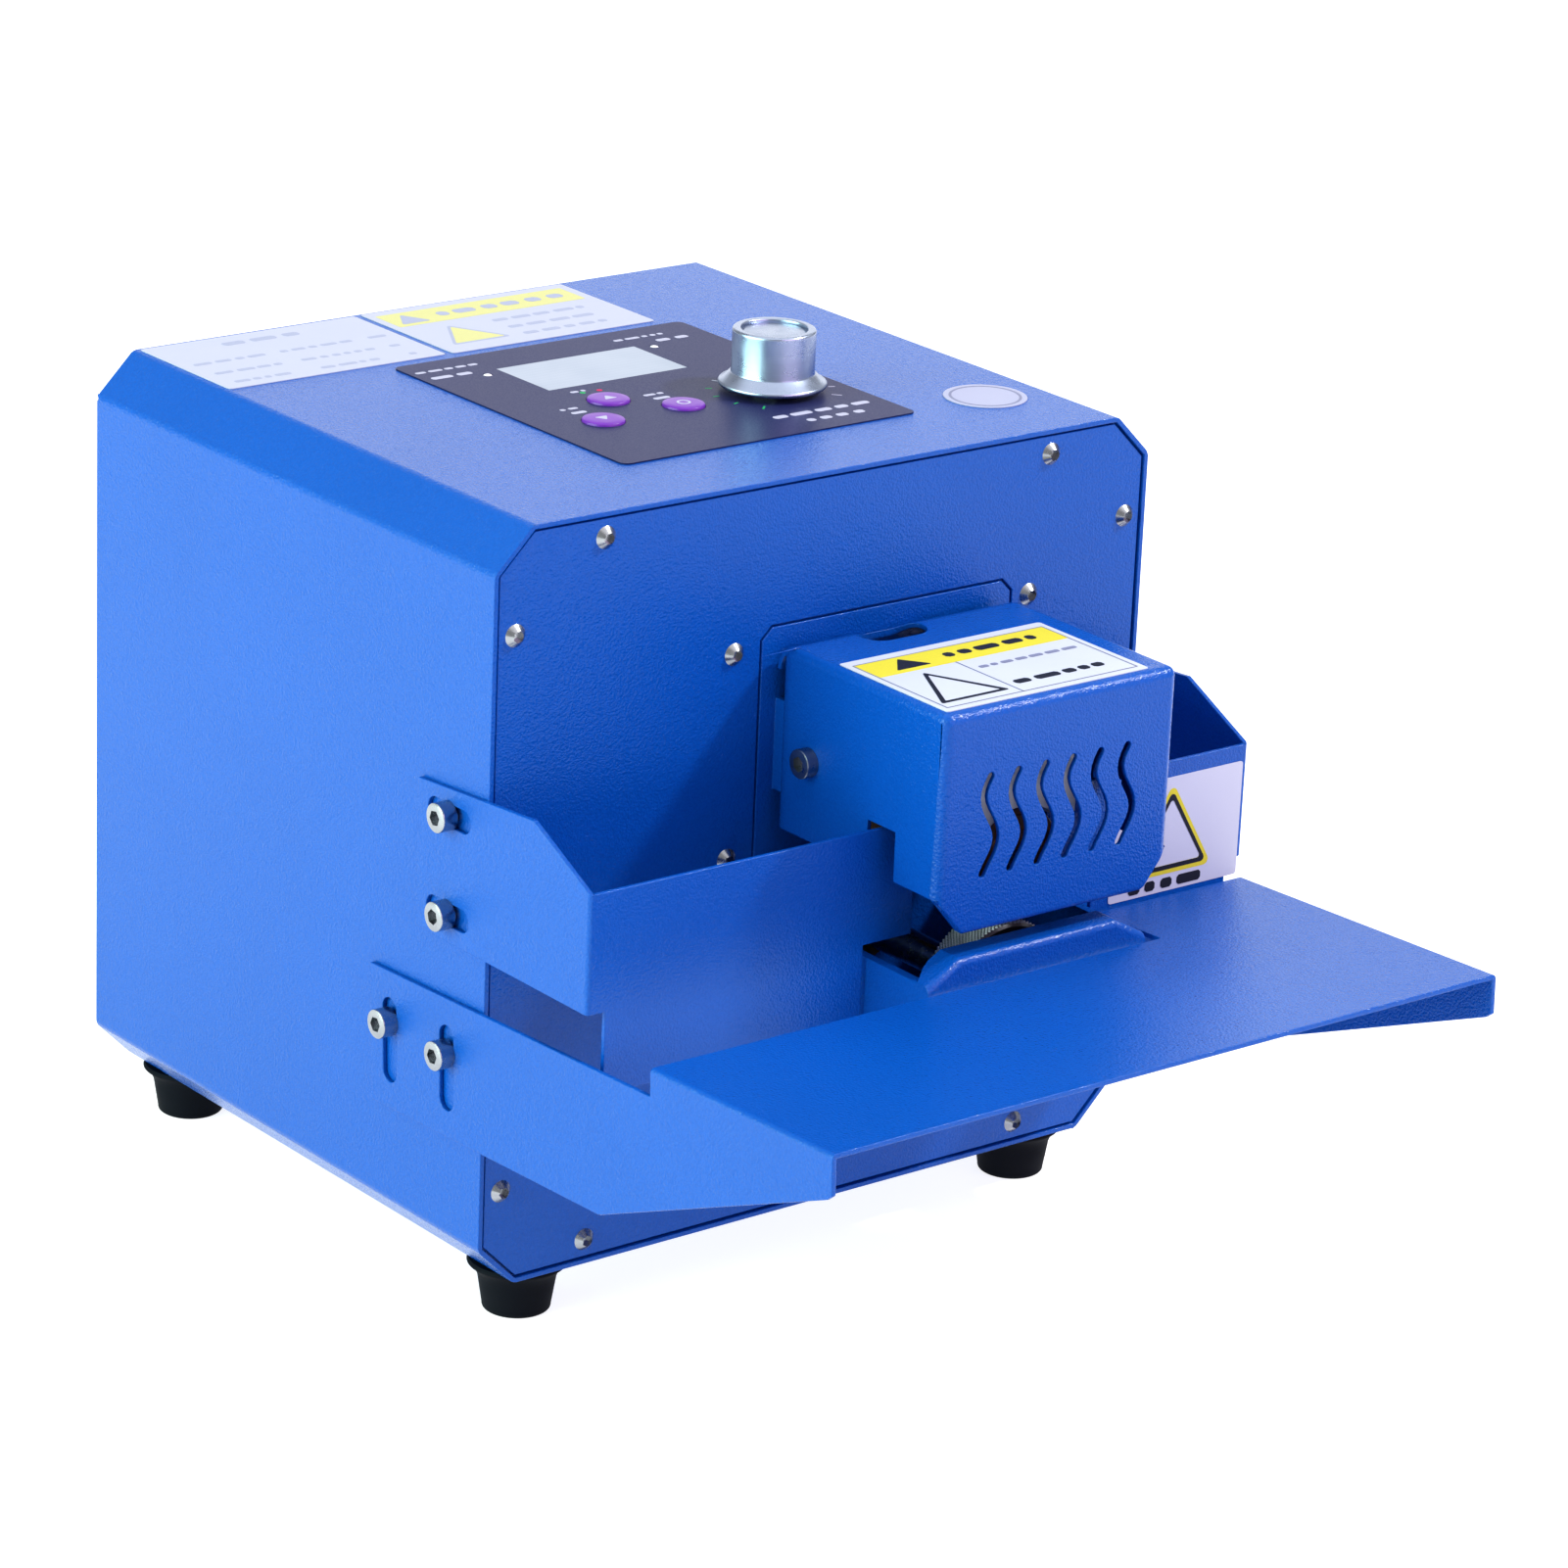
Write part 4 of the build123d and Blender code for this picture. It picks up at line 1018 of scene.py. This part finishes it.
def head_label():
    """The hood's label: a yellow band over an empty triangle and two rows of dashes."""
    low, high = span("head_label")
    sheet = Sheet(at(0, 0, high.z), (1, 0, 0), (0, 1, 0))
    label("head_label", "hood_label", sheet, low, high, 1.0)
    left, right, front, back = low.x + 1.9, high.x - 1.9, low.y + 2.4, high.y - 3.4
    split_v, split_u = back - 12.0, left + 27.0
    sheet.printed("hood_label_yellow", [bar(left, right, split_v, back, 0.4)], [], "cabinet", yellow_ink)
    outer = triangle(left + 13.2, front + 3.6, split_v - 2.6, 12.0, 0.5)
    inner = triangle(left + 13.2, front + 4.9, split_v - 5.0, 9.7, 0.3)
    divider = bar(split_u, split_u + 0.45, front, split_v, 0.1)
    small = words(split_u + 3.0, right - 2.0, split_v - 7.0, 1.8, 41)
    sheet.printed("hood_label_lines", [divider] + small, [frame_line(left, right, front, back, 0.45, 0.5)],
                  "cabinet", grey_ink, ink_rise, 2 * ink_rise)
    dark = [triangle(left + 14.6, split_v + 2.3, back - 1.9, 6.2, 0.4)]
    dark += words(left + 28.0, right - 6.5, back - 6.0, 3.4, 43, 0.8)
    dark += words(split_u + 3.0, right - 3.0, front + 7.4, 3.0, 44)
    sheet.printed("hood_label_dark", dark, [(outer, inner)], "cabinet", dark_ink, ink_rise, 2 * ink_rise)


def guard_label():
    """The guard's label: an empty triangle in dark and yellow over a row of dashes."""
    low, high = span("guard_label")
    sheet = Sheet(at(0, low.y, 0), (1, 0, 0), (0, 0, 1))
    label("guard_label", "guard_sticker", sheet, (low.x, low.z), (high.x, high.z), 1.0)
    u = 205.0
    yellow = (triangle(u, 100.3, 127.8, 16.4, 1.6), triangle(u, 103.0, 123.2, 12.3, 0.8))
    dark = (triangle(u, 101.6, 125.6, 14.4, 1.2), triangle(u, 103.0, 123.2, 12.3, 0.8))
    sheet.printed("guard_sticker_yellow", [], [yellow], "guard", yellow_ink)
    sheet.printed("guard_sticker_dark", words(190.0, 222.0, 97.6, 3.0, 51), [dark], "guard", dark_ink,
                  ink_rise, 2 * ink_rise)


def overlay_print():
    """Small generic marks of the control panel: dashes, dots and the knob's scale."""
    sheet = Sheet(at(0, 0, span("control_overlay")[1].z), (1, 0, 0), (0, 1, 0))
    knob_u, knob_v = middle("temperature_knob").xy
    white = words(68.5, 92.0, 136.6, 1.7, 61) + words(69.5, 83.5, 129.8, 2.4, 62, 1.4)
    white += words(140.0, 160.0, 136.8, 1.7, 63) + words(151.5, 165.0, 131.0, 2.4, 64, 1.4)
    white += words(131.0, 165.5, 47.6, 2.6, 65) + words(138.0, 158.5, 40.9, 2.6, 66, 1.3)
    white += words(82.5, 88.5, 84.4, 1.6, 67) + words(83.5, 88.5, 80.2, 2.0, 68)
    white += words(112.5, 119.5, 84.8, 1.6, 69) + words(113.0, 118.5, 80.6, 2.0, 70)
    white += words(96.0, 101.5, 98.0, 1.6, 71)
    green = [disc(99.0, 96.2, 0.9)]
    for k in range(11):
        a = math.radians(225 - 27 * k)
        near, far = 17.4, 19.4 if k % 5 else 20.4
        side = Vector((-math.sin(a), math.cos(a))) * 0.3
        ends = [Vector((math.cos(a), math.sin(a))) * r + Vector((knob_u, knob_v)) for r in (near, far)]
        tick = [ends[0] - side, ends[1] - side, ends[1] + side, ends[0] + side]
        (green if k < 4 else white).append([(p.x, p.y) for p in tick])
    sheet.printed("overlay_white_print", white, [], "cabinet", white_ink)
    sheet.printed("overlay_green_print", green, [], "cabinet", green_ink)
    sheet.printed("overlay_red_print", [disc(104.8, 96.0, 0.9)], [], "cabinet", red_ink)


def key_marks():
    """Up and down arrows and a ring on the three keys."""
    for node, body in (("key_up", "up_key"), ("key_down", "down_key"), ("key_set", "set_key")):
        u, v = middle(node).xy
        sheet = Sheet(at(0, 0, span(node)[1].z), (1, 0, 0), (0, 1, 0))
        arrow = triangle(u, v - 1.5, v + 1.9, 2.2, 0.3)
        if node == "key_down":
            arrow = [(2 * u - a, 2 * v - b) for a, b in arrow]
        rings = [(disc(u, v, 2.1), disc(u, v, 1.4))] if node == "key_set" else []
        sheet.printed(node + "_mark", [] if rings else [arrow], rings, body, white_ink, -0.02, 0.03)


left_label()
right_label()
round_label()
head_label()
guard_label()
overlay_print()
key_marks()


# ------------------------------------------------------------------ stage
def area_light(name, place, target, size, power, colour=(1.0, 1.0, 1.0)):
    data = bpy.data.lights.new(name, "AREA")
    data.shape = "RECTANGLE"
    data.size, data.size_y = size
    data.energy = power
    data.color = colour
    lamp = bpy.data.objects.new(name, data)
    lamp.location = place
    lamp.rotation_euler = (Vector(target) - Vector(place)).to_track_quat("-Z", "Y").to_euler()
    bpy.context.scene.collection.objects.link(lamp)


def stage():
    bpy.ops.mesh.primitive_grid_add(x_subdivisions=8, y_subdivisions=8, size=9.0)
    floor = bpy.context.object
    floor.name = "studio_floor"
    floor.data.materials.append(floor_sheet("studio_sheet"))
    world = bpy.data.worlds.new("studio")
    world.use_nodes = True
    world.node_tree.nodes["Background"].inputs["Color"].default_value = rgb(1.0, 1.0, 1.0)
    world.node_tree.nodes["Background"].inputs["Strength"].default_value = 0.42
    bpy.context.scene.world = world
    area_light("side_box", (-1.7, 0.3, 0.6), (0, 0, 0.12), (1.8, 1.4), 40, (0.80, 1.20, 1.0))
    area_light("top_box", (0.0, 0.0, 2.2), (0, 0, 0), (3.2, 3.2), 26)
    area_light("back_box", (1.7, 2.2, 0.9), (0, 0, 0.25), (2.6, 1.6), 11)
    area_light("front_box", (0.6, -2.4, 1.2), (0, 0, 0.1), (2.4, 1.6), 20, (1.08, 0.74, 1.06))
    area_light("edge_box", (1.42, -0.9, 1.85), (0, -0.08, 0.15), (0.22, 0.22), 38)


def camera():
    """A long lens from the front left, a little above the cabinet's top."""
    azimuth, elevation, roll = [math.radians(a) for a in (38.745, 19.562, -2.449)]
    forward = Vector((math.sin(azimuth) * math.cos(elevation), math.cos(azimuth) * math.cos(elevation),
                      -math.sin(elevation)))
    level = Vector((math.cos(azimuth), -math.sin(azimuth), 0))
    down = forward.cross(level)
    right = level * math.cos(roll) + down * math.sin(roll)
    lower = down * math.cos(roll) - level * math.sin(roll)
    data = bpy.data.cameras.new("studio_camera")
    data.lens = 135.35
    data.sensor_width = 36.0
    made = bpy.data.objects.new("studio_camera", data)
    turn = Matrix((right, -lower, -forward)).transposed().to_4x4()
    made.matrix_world = Matrix.Translation((-0.9923, -1.2431, 0.7026)) @ turn
    bpy.context.scene.collection.objects.link(made)
    bpy.context.scene.camera = made


stage()
camera()
bpy.context.scene.view_settings.view_transform = "Standard"
bpy.context.scene.view_settings.look = "Medium High Contrast"
